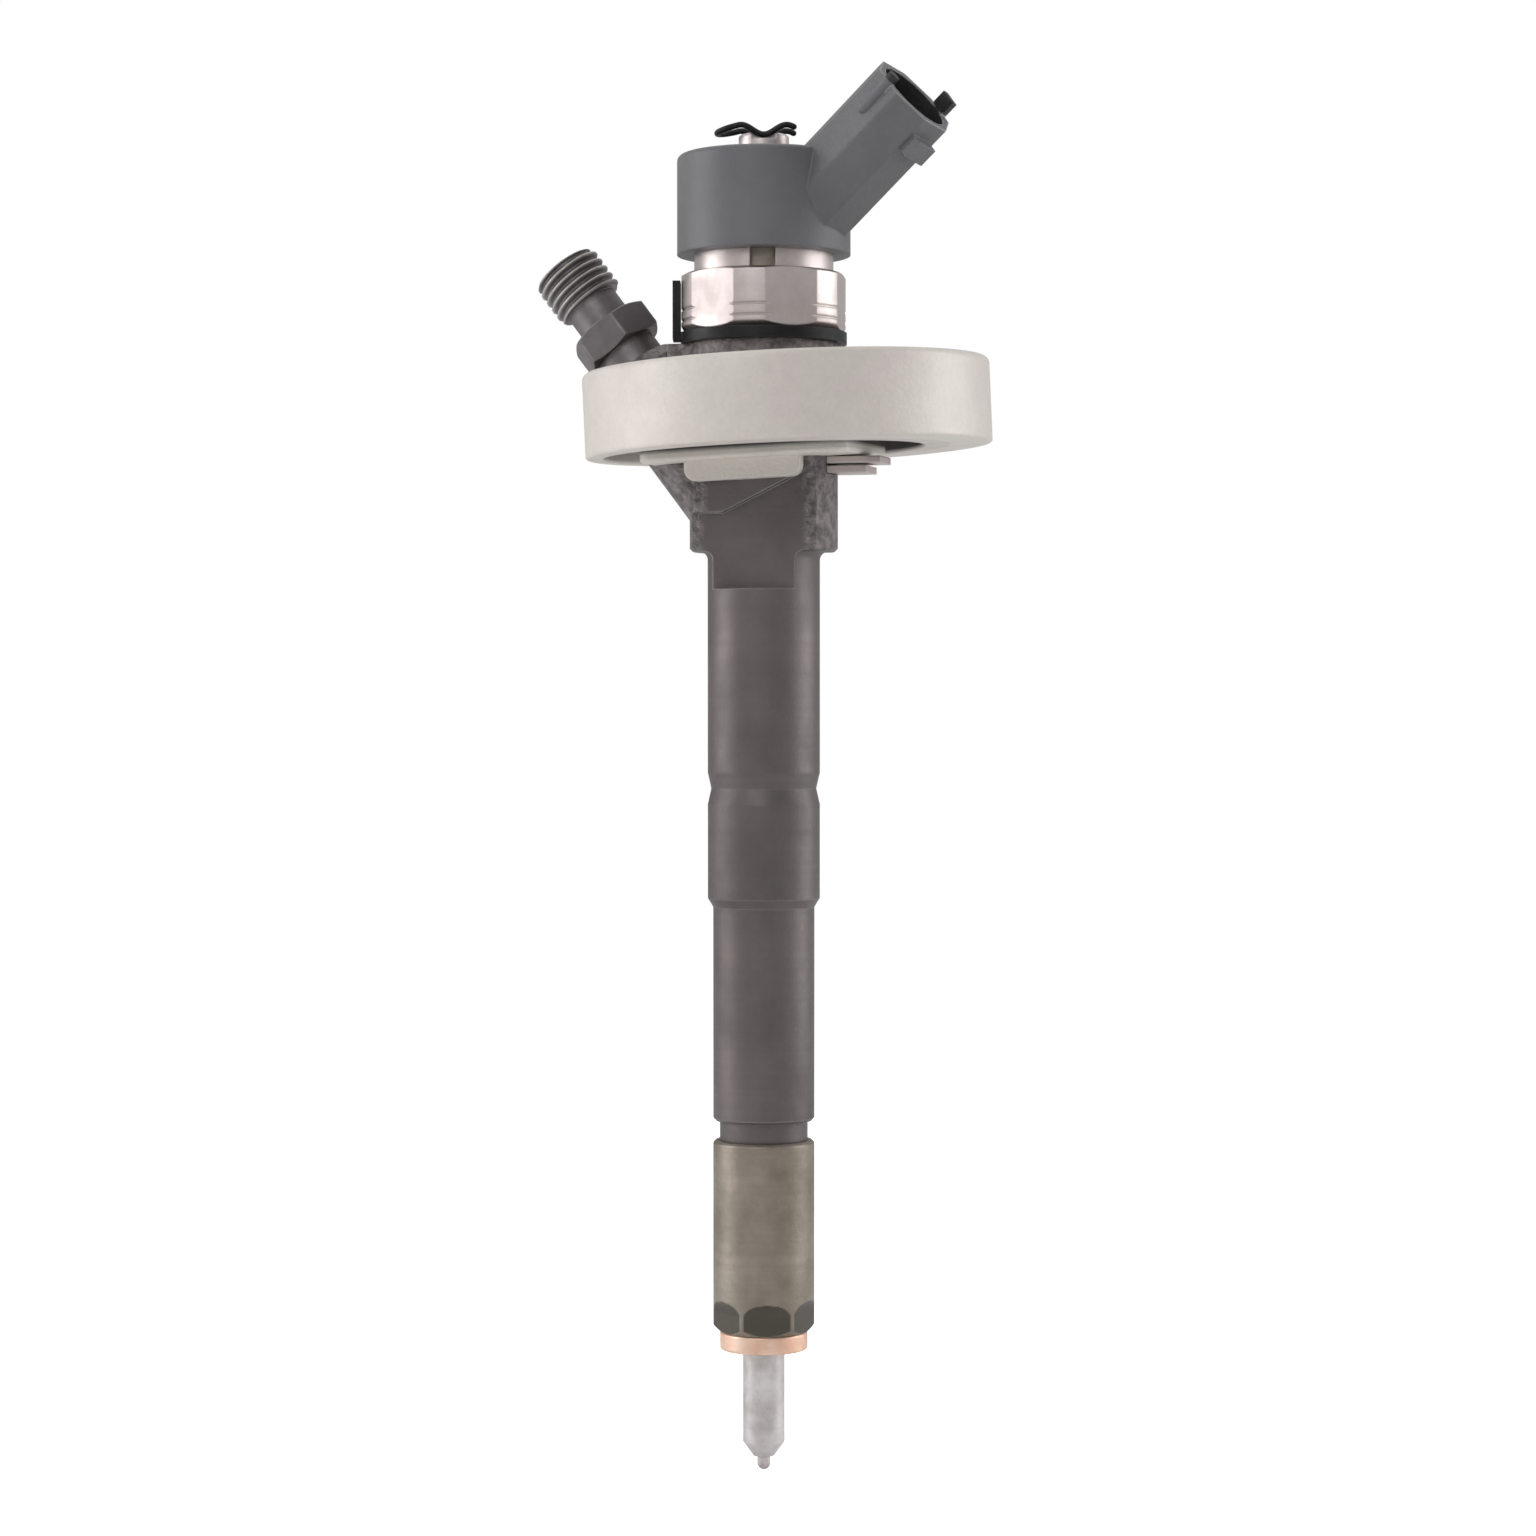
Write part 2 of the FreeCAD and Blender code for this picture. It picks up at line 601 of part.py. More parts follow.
def body_passages():
    bores = turned([
        (0, NOZZLE_TOP_Z),
        (SPRING_BORE_R, NOZZLE_TOP_Z),
        (SPRING_BORE_R, SPRING_BORE_TOP_Z),
        (PISTON_BORE_R, SPRING_BORE_TOP_Z),
        (PISTON_BORE_R, VALVE_BORE_Z),
        (VALVE_BORE_R, VALVE_BORE_Z),
        (VALVE_BORE_R, GALLERY_Z),
        (GALLERY_R, GALLERY_Z),
        (GALLERY_R, GALLERY_TOP_Z),
        (VALVE_BORE_R, GALLERY_TOP_Z),
        (VALVE_BORE_R, CHAMBER_Z),
        (CHAMBER_R, CHAMBER_Z),
        (CHAMBER_R, CHAMBER_TOP_Z),
        (SLEEVE_SPIGOT_R + SLIP_CLEARANCE, CHAMBER_TOP_Z),
        (SLEEVE_SPIGOT_R + SLIP_CLEARANCE, COIL_THREAD_TOP_Z - O_RING_GROOVE),
        (SLEEVE_SPIGOT_R + O_RING_GROOVE, COIL_THREAD_TOP_Z - O_RING_GROOVE),
        (SLEEVE_SPIGOT_R + O_RING_GROOVE, COIL_THREAD_TOP_Z),
        (0, COIL_THREAD_TOP_Z),
    ])
    feed = drilling(FEED_R, along_x(FEED_X, NOZZLE_TOP_Z), along_x(FEED_TOP_X, FEED_TOP_Z))
    leak = drilling(LEAK_R, along_x(PISTON_BORE_R, LEAK_Z), along_x(LEAK_TOP_X, CHAMBER_Z))
    inlet = on_inlet(rod(INLET_DRILL_R, INLET_DRILL_START, BOSS_END))
    socket = on_inlet(rod(ADAPTER_NECK_R, SOCKET_START, BOSS_END))
    return bores.fuse([feed, leak, inlet, socket])


def key_slot():
    reach = KEY_INSET + KEY_FIT
    half = KEY_WIDTH / 2 + KEY_FIT
    return block(HEAD_R - reach, FAR, -half, half, KEY_LOW_Z - KEY_FIT, KEY_TOP_Z + KEY_FIT)


def injector_body(outside):
    return outside.cut([body_passages(), dowels(), key_slot()])


def inlet_adapter():
    """High-pressure union: threaded root, hexagon, relief and the pipe thread with its cone seat."""
    turned_part = turned([
        (0, SOCKET_START),
        (ADAPTER_NECK_R, SOCKET_START),
        (ADAPTER_NECK_R, ADAPTER_HEX_START + THREAD_EDGE),
        (RELIEF_R, ADAPTER_HEX_START + THREAD_EDGE),
        (RELIEF_R, THREAD_START),
        (INLET_THREAD_R, THREAD_START),
        (INLET_THREAD_R, INLET_END - THREAD_EDGE),
        (INLET_THREAD_R - THREAD_EDGE, INLET_END),
        (0, INLET_END),
    ])
    hexagonal = hexagon(ADAPTER_HEX, ADAPTER_HEX_START, RELIEF_START, ADAPTER_HEX_TURN)
    corner_r = ADAPTER_HEX / 2 / math.cos(math.pi / HEX_SIDES)
    rounding = turned([
        (0, ADAPTER_HEX_START),
        (ADAPTER_HEX / 2, ADAPTER_HEX_START),
        (corner_r, ADAPTER_HEX_START + THREAD_EDGE),
        (corner_r, RELIEF_START - THREAD_EDGE),
        (ADAPTER_HEX / 2, RELIEF_START),
        (0, RELIEF_START),
    ])
    bore = turned([
        (0, SOCKET_START),
        (INLET_DRILL_R, SOCKET_START),
        (INLET_DRILL_R, FILTER_START),
        (FILTER_BORE_R, FILTER_START),
        (FILTER_BORE_R, FILTER_END),
        (INLET_CONE_R, INLET_END),
        (0, INLET_END),
    ])
    return on_inlet(turned_part.fuse(hexagonal.common(rounding)).cut(bore))


def edge_filter():
    """Rod filter: a pin with long slots that open alternately to its two ends."""
    pin_r = FILTER_BORE_R - SLIP_CLEARANCE
    pin = rod(pin_r, FILTER_START, FILTER_END)
    half = FILTER_SLOT_WIDTH / 2
    slots = []
    for number in range(HEX_SIDES):
        low = FILTER_START + FILTER_LAND * (number % 2)
        slot = block(pin_r - FILTER_SLOT_DEPTH, FAR, -half, half, low, low + FILTER_LENGTH - FILTER_LAND)
        slot.rotate(ORIGIN, UP, 360 / HEX_SIDES * number)
        slots.append(slot)
    return on_inlet(pin.cut(slots))


def nozzle_body():
    outline = [(0, NOZZLE_TIP_Z)]
    for step in range(1, ARC_STEPS + 1):
        angle = math.radians(ARC_STEP * step)
        outline.append((SAC_R * math.sin(angle), NOZZLE_TIP_Z + SAC_R * (1 - math.cos(angle))))
    outline += [
        (SAC_R, TIP_Z - SAC_STEP),
        (TIP_R, TIP_Z),
        (SHANK_R, SHANK_Z),
        (SHANK_R, 0),
        (SHANK_RELIEF_R, 0),
        (SHANK_RELIEF_R, SHOULDER_Z),
        (NUT_BORE_R - SLIP_CLEARANCE, SHOULDER_Z),
        (NUT_BORE_R - SLIP_CLEARANCE, NOZZLE_TOP_Z),
        (0, NOZZLE_TOP_Z),
    ]
    bore = turned([
        (0, NOZZLE_TIP_Z + SAC_WALL),
        (SEAT_END_R, NOZZLE_TIP_Z + SAC_WALL),
        (SEAT_END_R, SEAT_END_Z),
        (NEEDLE_STEM_BORE_R, SEAT_TOP_Z),
        (NEEDLE_STEM_BORE_R, FUEL_POCKET_Z),
        (FUEL_POCKET_R, FUEL_POCKET_Z + FUEL_POCKET_SLOPE),
        (FUEL_POCKET_R, FUEL_POCKET_TOP_Z - FUEL_POCKET_SLOPE),
        (NEEDLE_R, FUEL_POCKET_TOP_Z),
        (NEEDLE_R, NOZZLE_TOP_Z),
        (0, NOZZLE_TOP_Z),
    ])
    pocket = along_x(FEED_R - FUEL_POCKET_R, FUEL_POCKET_TOP_Z - FUEL_POCKET_SLOPE)
    feed = drilling(LEAK_R, along_x(FEED_X, NOZZLE_TOP_Z), pocket)
    sprays = []
    sac_z = NOZZLE_TIP_Z + SAC_R
    for number in range(SPRAY_HOLES):
        way = around(math.cos(math.radians(SPRAY_DROP)), SPRAY_TURN + 360 / SPRAY_HOLES * number)
        way.z = -math.sin(math.radians(SPRAY_DROP))
        start = FreeCAD.Vector(0, 0, sac_z)
        sprays.append(drilling(SPRAY_HOLE_R, start, start + way * 2 * SAC_R))
    return turned(outline).cut([bore, feed, dowels()] + sprays)


def nozzle_needle():
    guide_r = NEEDLE_R - RUNNING_CLEARANCE
    seat_slope = (NEEDLE_STEM_BORE_R - SEAT_END_R) / (SEAT_TOP_Z - SEAT_END_Z)
    cone_length = (NEEDLE_STEM_R - SEAT_END_R) / seat_slope
    tip_z = SEAT_END_Z + NEEDLE_SEAT_GAP
    return turned([
        (0, tip_z - NEEDLE_POINT),
        (SEAT_END_R, tip_z),
        (NEEDLE_STEM_R, tip_z + cone_length),
        (NEEDLE_STEM_R, FUEL_POCKET_Z + NEEDLE_EDGE),
        (guide_r, FUEL_POCKET_TOP_Z - NEEDLE_EDGE),
        (guide_r, NOZZLE_TOP_Z - NEEDLE_EDGE),
        (NEEDLE_PIN_R, NOZZLE_TOP_Z - NEEDLE_EDGE / 2),
        (NEEDLE_PIN_R, SEAT_DISC_Z),
        (0, SEAT_DISC_Z),
    ])


def nozzle_nut():
    """Sleeve nut with six milled flats at its foot."""
    outline = [
        (NUT_HOLE_R, WASHER_THICKNESS),
        (STEM_R - NUT_BOTTOM_EDGE, WASHER_THICKNESS),
        (STEM_R, WASHER_THICKNESS + NUT_BOTTOM_EDGE),
        (STEM_R, NUT_TOP_Z - NUT_TOP_EDGE),
        (STEM_R - NUT_TOP_EDGE, NUT_TOP_Z),
        (NUT_BORE_R, NUT_TOP_Z),
        (NUT_BORE_R, SHOULDER_Z),
        (NUT_HOLE_R, SHOULDER_Z),
    ]
    half = NUT_FLATS / 2
    wheel_rise = math.sqrt(NUT_FLAT_RUNOUT ** 2 - (NUT_FLAT_RUNOUT - (STEM_R - half)) ** 2)
    wheel_z = WASHER_THICKNESS + NUT_FLATS_TOP - wheel_rise
    wheel_centre = FreeCAD.Vector(half + NUT_FLAT_RUNOUT, -FAR, wheel_z)
    mill = block(half, FAR, -FAR, FAR, 0, wheel_z)
    mill = mill.fuse(Part.makeCylinder(NUT_FLAT_RUNOUT, 2 * FAR, wheel_centre, FreeCAD.Vector(0, 1, 0)))
    cuts = []
    for number in range(HEX_SIDES):
        cut = mill.copy()
        cut.rotate(ORIGIN, UP, NUT_FLATS_TURN + 360 / HEX_SIDES * number)
        cuts.append(cut)
    return turned(outline).cut(cuts)


def combustion_washer():
    return turned([
        (WASHER_BORE_R, 0),
        (WASHER_R - WASHER_EDGE, 0),
        (WASHER_R, WASHER_EDGE),
        (WASHER_R, WASHER_THICKNESS - WASHER_EDGE),
        (WASHER_R - WASHER_EDGE, WASHER_THICKNESS),
        (WASHER_BORE_R, WASHER_THICKNESS),
    ])


def spring_seat():
    """Disc on the needle's pin that carries the nozzle spring and meets the control piston."""
    disc = rod(SEAT_DISC_R, SEAT_DISC_Z, NOZZLE_SPRING_Z)
    return disc.fuse(rod(SEAT_BOSS_R, NOZZLE_SPRING_Z, PISTON_Z))


def nozzle_spring_shim():
    low = SPRING_BORE_TOP_Z - SHIM_THICKNESS
    return ring(SPRING_BORE_R - SLIP_CLEARANCE, SHIM_BORE_R, low, SPRING_BORE_TOP_Z)


def control_piston():
    head_r = PISTON_R - RUNNING_CLEARANCE
    return turned([
        (0, PISTON_Z),
        (PISTON_ROD_R, PISTON_Z),
        (PISTON_ROD_R, PISTON_TOP_Z - PISTON_HEAD_LENGTH),
        (head_r, PISTON_TOP_Z - PISTON_HEAD_LENGTH + PISTON_EDGE),
        (head_r, PISTON_TOP_Z),
        (0, PISTON_TOP_Z),
    ])


def high_pressure_seal():
    return ring(VALVE_BORE_R - SLIP_CLEARANCE, SEAL_BORE_R, VALVE_BORE_Z, VALVE_BORE_Z + SEAL_THICKNESS)


def valve_body():
    """Valve piece: piston guide below, control chamber, and the ball seat on top."""
    stem_r = VALVE_BORE_R - SLIP_CLEARANCE
    low = VALVE_BORE_Z + SEAL_THICKNESS
    outline = [
        (0, low),
        (stem_r, low),
        (stem_r, GALLERY_Z - VALVE_STEM_EDGE),
        (VALVE_WAIST_R, GALLERY_Z),
        (VALVE_WAIST_R, CHAMBER_Z),
        (CHAMBER_R - SLIP_CLEARANCE, CHAMBER_Z),
        (CHAMBER_R - SLIP_CLEARANCE, LIFT_SHIM_Z),
        (VALVE_SEAT_BOSS_R, LIFT_SHIM_Z),
        (VALVE_SEAT_BOSS_R, SEAT_FACE_Z),
        (0, SEAT_FACE_Z),
    ]
    bore = turned([
        (0, low),
        (PISTON_R, low),
        (PISTON_R, VALVE_CHAMBER_TOP_Z),
        (DRAIN_DRILL_R, VALVE_CHAMBER_TOP_Z),
        (DRAIN_DRILL_R, SEAT_FACE_Z - DRAIN_DRILL_DEPTH),
        (DRAIN_THROTTLE_R, SEAT_FACE_Z - DRAIN_THROTTLE_DEPTH),
        (DRAIN_THROTTLE_R, SEAT_FACE_Z - BALL_SEAT_DEPTH),
        (BALL_SEAT_R, SEAT_FACE_Z),
        (0, SEAT_FACE_Z),
    ])
    throttle_z = VALVE_CHAMBER_TOP_Z - FEED_THROTTLE_R
    throttle = drilling(FEED_THROTTLE_R, along_x(0, throttle_z), along_x(VALVE_BORE_R, throttle_z))
    drain = drilling(LEAK_R, along_x(LEAK_TOP_X, CHAMBER_Z), along_x(LEAK_TOP_X, LIFT_SHIM_Z))
    return turned(outline).cut([bore, throttle, drain])


def valve_ball():
    return Part.makeSphere(BALL_R, FreeCAD.Vector(0, 0, BALL_Z))


def ball_holder():
    return rod(HOLDER_R, HOLDER_Z, BOLT_Z).cut(Part.makeSphere(BALL_R, FreeCAD.Vector(0, 0, BALL_Z)))


def lift_shim():
    shim = ring(CHAMBER_R - SLIP_CLEARANCE, CHAMBER_R - LIFT_SHIM_WIDTH, LIFT_SHIM_Z, GUIDE_Z)
    return shim.cut(drilling(LEAK_R, along_x(LEAK_TOP_X, LIFT_SHIM_Z), along_x(LEAK_TOP_X, GUIDE_Z)))


def armature_guide():
    """Plate with a tall neck that guides the armature bolt and stops its foot."""
    stop_z = BOLT_Z + BOLT_FOOT_LENGTH + VALVE_LIFT
    plate = rod(CHAMBER_R - SLIP_CLEARANCE, GUIDE_Z, SCREW_Z)
    neck = rod(GUIDE_NECK_R, GUIDE_Z, SCREW_Z + GUIDE_NECK_LENGTH)
    bore = rod(BOLT_R + BOLT_CLEARANCE, GUIDE_Z, SCREW_Z + FAR)
    pocket = rod(GUIDE_POCKET_R, GUIDE_Z, stop_z)
    holes = []
    for number in range(GUIDE_HOLES):
        place = around(GUIDE_HOLE_RADIUS, 360 / GUIDE_HOLES * (number + 0.5), GUIDE_Z)
        holes.append(Part.makeCylinder(LEAK_R, GUIDE_PLATE, place))
    return plate.fuse(neck).cut([bore, pocket] + holes)


def clamp_screw():
    """Ring screw that clamps the valve piece and the guide, with four driver slots."""
    top = SCREW_Z + SCREW_LENGTH
    low = top - SCREW_SLOT_DEPTH
    half = SCREW_SLOT / 2
    slots = [block(-FAR, FAR, -half, half, low, top), block(-half, half, -FAR, FAR, low, top)]
    return ring(CHAMBER_R, SCREW_BORE_R, SCREW_Z, top).cut(slots)


def armature_bolt():
    foot = rod(BOLT_FOOT_R, BOLT_Z, BOLT_Z + BOLT_FOOT_LENGTH)
    shaft = rod(BOLT_R, BOLT_Z, BOLT_TOP_Z)
    groove = ring(CLIP_R, CLIP_NECK_R, ARMATURE_TOP_Z, VALVE_SPRING_Z)
    return foot.fuse(shaft).cut(groove)


def bolt_clip():
    """Open clip in the bolt's groove that holds the armature plate down."""
    half = CLIP_GAP / 2
    clip = ring(CLIP_R, CLIP_NECK_R, ARMATURE_TOP_Z, VALVE_SPRING_Z)
    return clip.cut(block(0, CLIP_R, -half, half, ARMATURE_TOP_Z, VALVE_SPRING_Z))


def armature_plate():
    hub_z = ARMATURE_Z - ARMATURE_HUB_LENGTH
    plate = rod(ARMATURE_R, ARMATURE_Z, ARMATURE_TOP_Z).fuse(rod(ARMATURE_HUB_R, hub_z, ARMATURE_Z))
    cuts = [rod(BOLT_R + 2 * BOLT_CLEARANCE, hub_z, ARMATURE_TOP_Z)]
    for number in range(ARMATURE_HOLES):
        place = around(ARMATURE_HOLE_RADIUS, 360 / ARMATURE_HOLES * number, ARMATURE_Z)
        cuts.append(Part.makeCylinder(ARMATURE_HOLE_R, ARMATURE_THICKNESS, place))
    return plate.cut(cuts)


def spring_shim():
    outer = PORT_SPRING_BORE_R - SLIP_CLEARANCE
    return ring(outer, SPRING_SHIM_BORE_R, VALVE_SPRING_TOP_Z, SPRING_SHIM_TOP_Z)


def lead_places():
    """Where the two coil leads rise, side by side under the electric socket."""
    places = []
    for side in (1, -1):
        places.append(around(LEAD_RADIUS, PLUG_TURN) + around(side * LEAD_SPACING / 2, PLUG_TURN + 90))
    return places


def magnet_core():
    """Pot core: outer wall, centre pole with the spring bore, and a ring pocket for the coil."""
    core = ring(CORE_R, CORE_BORE_R, CORE_Z, CORE_TOP_Z)
    cuts = [ring(COIL_POCKET_OUT_R, COIL_POCKET_IN_R, CORE_Z, POCKET_TOP_Z)]
    for place in lead_places():
        cuts.append(Part.makeCylinder(LEAD_R, FAR, place + UP * CORE_Z))
    return core.cut(cuts)


def coil_bobbin():
    inner = COIL_POCKET_IN_R + SLIP_CLEARANCE
    outer = COIL_POCKET_OUT_R - SLIP_CLEARANCE
    low = CORE_Z + BOBBIN_WALL
    parts = [
        ring(outer, inner, low, low + BOBBIN_WALL),
        ring(outer, inner, POCKET_TOP_Z - BOBBIN_WALL, POCKET_TOP_Z),
    ]
    for place in lead_places():
        parts.append(Part.makeCylinder(LEAD_R, CORE_TOP_Z - POCKET_TOP_Z, place + UP * POCKET_TOP_Z))
    return ring(inner + BOBBIN_WALL, inner, low, POCKET_TOP_Z).fuse(parts)


def coil_winding():
    inner = COIL_POCKET_IN_R + SLIP_CLEARANCE + BOBBIN_WALL
    low = CORE_Z + 2 * BOBBIN_WALL
    outer = COIL_POCKET_OUT_R - SLIP_CLEARANCE - WINDING_GAP
    return ring(outer, inner, low, POCKET_TOP_Z - BOBBIN_WALL)


def solenoid_sleeve():
    return turned([
        (CORE_R, SLEEVE_BASE_Z),
        (SLEEVE_SPIGOT_R, SLEEVE_BASE_Z),
        (SLEEVE_SPIGOT_R, COIL_THREAD_TOP_Z),
        (SLEEVE_FLANGE_R, COIL_THREAD_TOP_Z),
        (SLEEVE_FLANGE_R, SLEEVE_FLANGE_TOP_Z),
        (SLEEVE_R, SLEEVE_FLANGE_TOP_Z),
        (SLEEVE_R, SLEEVE_TOP_Z),
        (CORE_R, SLEEVE_TOP_Z),
    ])


def solenoid_o_ring():
    centre = FreeCAD.Vector(0, 0, COIL_THREAD_TOP_Z - O_RING_GROOVE / 2)
    return Part.makeTorus(SLEEVE_SPIGOT_R + O_RING_GROOVE / 2, O_RING_R, centre)


def solenoid_nut():
    """Union nut: thread below, and a lip that presses on the flange of the solenoid sleeve."""
    low = SOLENOID_NUT_Z
    lip_z = SLEEVE_FLANGE_TOP_Z
    hole_r = SLEEVE_R + SOLENOID_NUT_FIT
    turned_outside = turned([
        (0, low),
        (SOLENOID_NUT_R - SOLENOID_NUT_EDGE, low),
        (SOLENOID_NUT_R, low + SOLENOID_NUT_EDGE),
        (SOLENOID_NUT_R, SOLENOID_NUT_TOP_Z - SOLENOID_NUT_EDGE / 2),
        (SOLENOID_NUT_R - SOLENOID_NUT_EDGE, SOLENOID_NUT_TOP_Z),
        (0, SOLENOID_NUT_TOP_Z),
    ])
    cuts = [rod(COIL_THREAD_R, low, lip_z), rod(hole_r, lip_z, SOLENOID_NUT_TOP_Z)]
    depth = SOLENOID_NUT_GROOVE
    for rise in SOLENOID_NUT_GROOVE_RISES:
        cuts.append(turned([
            (SOLENOID_NUT_R - depth, low + rise),
            (SOLENOID_NUT_R + depth, low + rise - 2 * depth),
            (SOLENOID_NUT_R + depth, low + rise + 2 * depth),
        ]))
    hexagonal = hexagon(SOLENOID_NUT_FLATS, low, SOLENOID_NUT_TOP_Z, SOLENOID_NUT_TURN)
    return turned_outside.common(hexagonal).cut(cuts)


def lock_washer_blank():
    """The washer's disc and its bent tab before the hole is cut; the inlet boss keeps out of this space."""
    top = SOLENOID_NUT_Z
    half = LOCK_TAB_WIDTH / 2
    low = HEAD_TOP_Z + LOCK_TAB_RISE
    outer = SOLENOID_NUT_R + LOCK_TAB_THICKNESS
    tongue = block(COIL_THREAD_R, outer, -half, half, low, top)
    tab = block(SOLENOID_NUT_R, outer, -half, half, low, LOCK_TAB_TOP_Z)
    bent = tongue.fuse(tab)
    bent.rotate(ORIGIN, UP, LOCK_TAB_TURN)
    return rod(SOLENOID_NUT_R, HEAD_TOP_Z, top).fuse(bent)


def lock_washer():
    """Flat washer with one tab bent up beside a flat of the solenoid nut."""
    return lock_washer_blank().cut(rod(COIL_THREAD_R + SLIP_CLEARANCE, HEAD_TOP_Z, SOLENOID_NUT_Z))


def guard_ring():
    """Open spring ring round the sleeve, which keeps the nut on the solenoid."""
    half = GUARD_RING_SLOT / 2
    slot = block(0, FAR, -half, half, SOLENOID_NUT_TOP_Z, HOUSING_Z)
    slot.rotate(ORIGIN, UP, GUARD_RING_TURN)
    return ring(GUARD_RING_R, SLEEVE_R, SOLENOID_NUT_TOP_Z, HOUSING_Z).cut(slot)


def plug_body():
    """Eight-sided socket body with its key rib, latch lug and guide post, built along +Z."""
    corners = []
    for number in range(PLUG_SIDES + 1):
        turn = PLUG_ROLL + 360 / PLUG_SIDES * (number + 0.5)
        corners.append(around(PLUG_CORNER_R, turn, PLUG_START))
    body = Part.Face(Part.makePolygon(corners)).extrude(UP * (PLUG_END - PLUG_START))
    long_edges = [edge for edge in body.Edges if edge.BoundBox.ZLength > PLUG_END / 2]
    body = body.makeFillet(PLUG_EDGE, long_edges)
    rib_start = around(PLUG_FLAT_R - RIB_SINK, KEY_RIB_ROLL, PLUG_END - KEY_RIB_LENGTH)
    rib = Part.makeCylinder(KEY_RIB_R, KEY_RIB_LENGTH + KEY_RIB_REACH, rib_start)
    rib = rib.fuse(Part.makeSphere(KEY_RIB_R, rib_start))
    half = LATCH_WIDTH / 2
    low = PLUG_END - LATCH_SINK
    latch = block(PLUG_BORE_R, PLUG_FLAT_R + LATCH_HEIGHT, -half, half, low, low + LATCH_LENGTH)
    latch.rotate(ORIGIN, UP, LATCH_ROLL)
    half = GUIDE_POST_WIDTH / 2
    low = PLUG_END - GUIDE_POST_SINK
    post = block(PLUG_BORE_R, PLUG_FLAT_R + RIB_SINK, -half, half, low, PLUG_END + GUIDE_POST_REACH)
    post.rotate(ORIGIN, UP, GUIDE_POST_ROLL)
    return body.fuse([rib, latch, post])


def terminals():
    """Two bent pins: a round foot on each coil lead and a flat blade along the socket."""
    pair = []
    bend = LEAD_RADIUS / math.sin(math.radians(PLUG_LEAN))
    bend_z = PLUG_Z + bend * math.cos(math.radians(PLUG_LEAN))
    half = PIN_WIDTH / 2
    for place, side in zip(lead_places(), (1, -1)):
        foot = Part.makeCylinder(LEAD_R, bend_z - CORE_TOP_Z, place + UP * CORE_TOP_Z)
        y = side * LEAD_SPACING / 2
        blade = block(-half, half, y - PIN_THICKNESS / 2, y + PIN_THICKNESS / 2, bend, PLUG_END - PIN_SINK)
        pair.append(foot.fuse(on_plug(blade)))
    return Part.makeCompound(pair)


def connector_housing(pins):
    """Plastic moulded round the solenoid's top, with the electric socket."""
    shell = rod(HOUSING_R, HOUSING_Z, HOUSING_TOP_Z)
    top_edges = [edge for edge in shell.Edges if edge.BoundBox.ZMin > HOUSING_Z + HOUSING_EDGE]
    shell = shell.makeFillet(HOUSING_EDGE, top_edges)
    shell = shell.fuse(rod(CORE_R, CORE_TOP_Z, HOUSING_Z + HOUSING_SPIGOT_OVERLAP))
    below = block(-FAR, FAR, -FAR, FAR, HOUSING_Z - FAR, HOUSING_Z)
    shell = shell.fuse(on_plug(plug_body()).cut(below))
    cuts = [
        on_plug(rod(PLUG_BORE_R, PLUG_END - PLUG_DEPTH, PLUG_END + FAR)),
        ring(SLEEVE_R, CORE_R, HOUSING_Z, SLEEVE_TOP_Z),
        rod(CORE_BORE_R, CORE_TOP_Z, PORT_STEM_Z),
        rod(PORT_STEM_R, PORT_STEM_Z, HOUSING_TOP_Z),
        pins,
    ]
    return shell.cut(cuts)


def return_port():
    """Leak-off port: stem with the spring bore, and a collar slotted for the wire clip."""
    body = turned([
        (PORT_SPRING_BORE_R, PORT_STEM_Z),
        (PORT_STEM_R, PORT_STEM_Z),
        (PORT_STEM_R, HOUSING_TOP_Z),
        (PORT_R, HOUSING_TOP_Z),
        (PORT_R, PORT_TOP_Z - PORT_EDGE),
        (PORT_R - PORT_EDGE, PORT_TOP_Z),
        (PORT_BORE_R, PORT_TOP_Z),
        (PORT_BORE_R, SPRING_SHIM_TOP_Z),
        (PORT_SPRING_BORE_R, SPRING_SHIM_TOP_Z),
    ])
    half = PORT_NOTCH_HALF_WIDTH
    low = PORT_TOP_Z - PORT_NOTCH_DEPTH
    notches = block(-half, half, -FAR, FAR, low, PORT_TOP_Z)
    notches = notches.cut(block(-half, half, -PORT_NOTCH_Y, PORT_NOTCH_Y, low, PORT_TOP_Z))
    notches.rotate(ORIGIN, UP, WIRE_TURN)
    return body.cut(notches)


def wire_height(along):
    """Height of the wire's two arches, whose middle dip lies in the port's notches."""
    dip_z = PORT_TOP_Z - PORT_NOTCH_DEPTH + WIRE_GAP + WIRE_R
    return dip_z + WIRE_DIP * math.sin(math.pi * along / WIRE_ARCH) ** 2


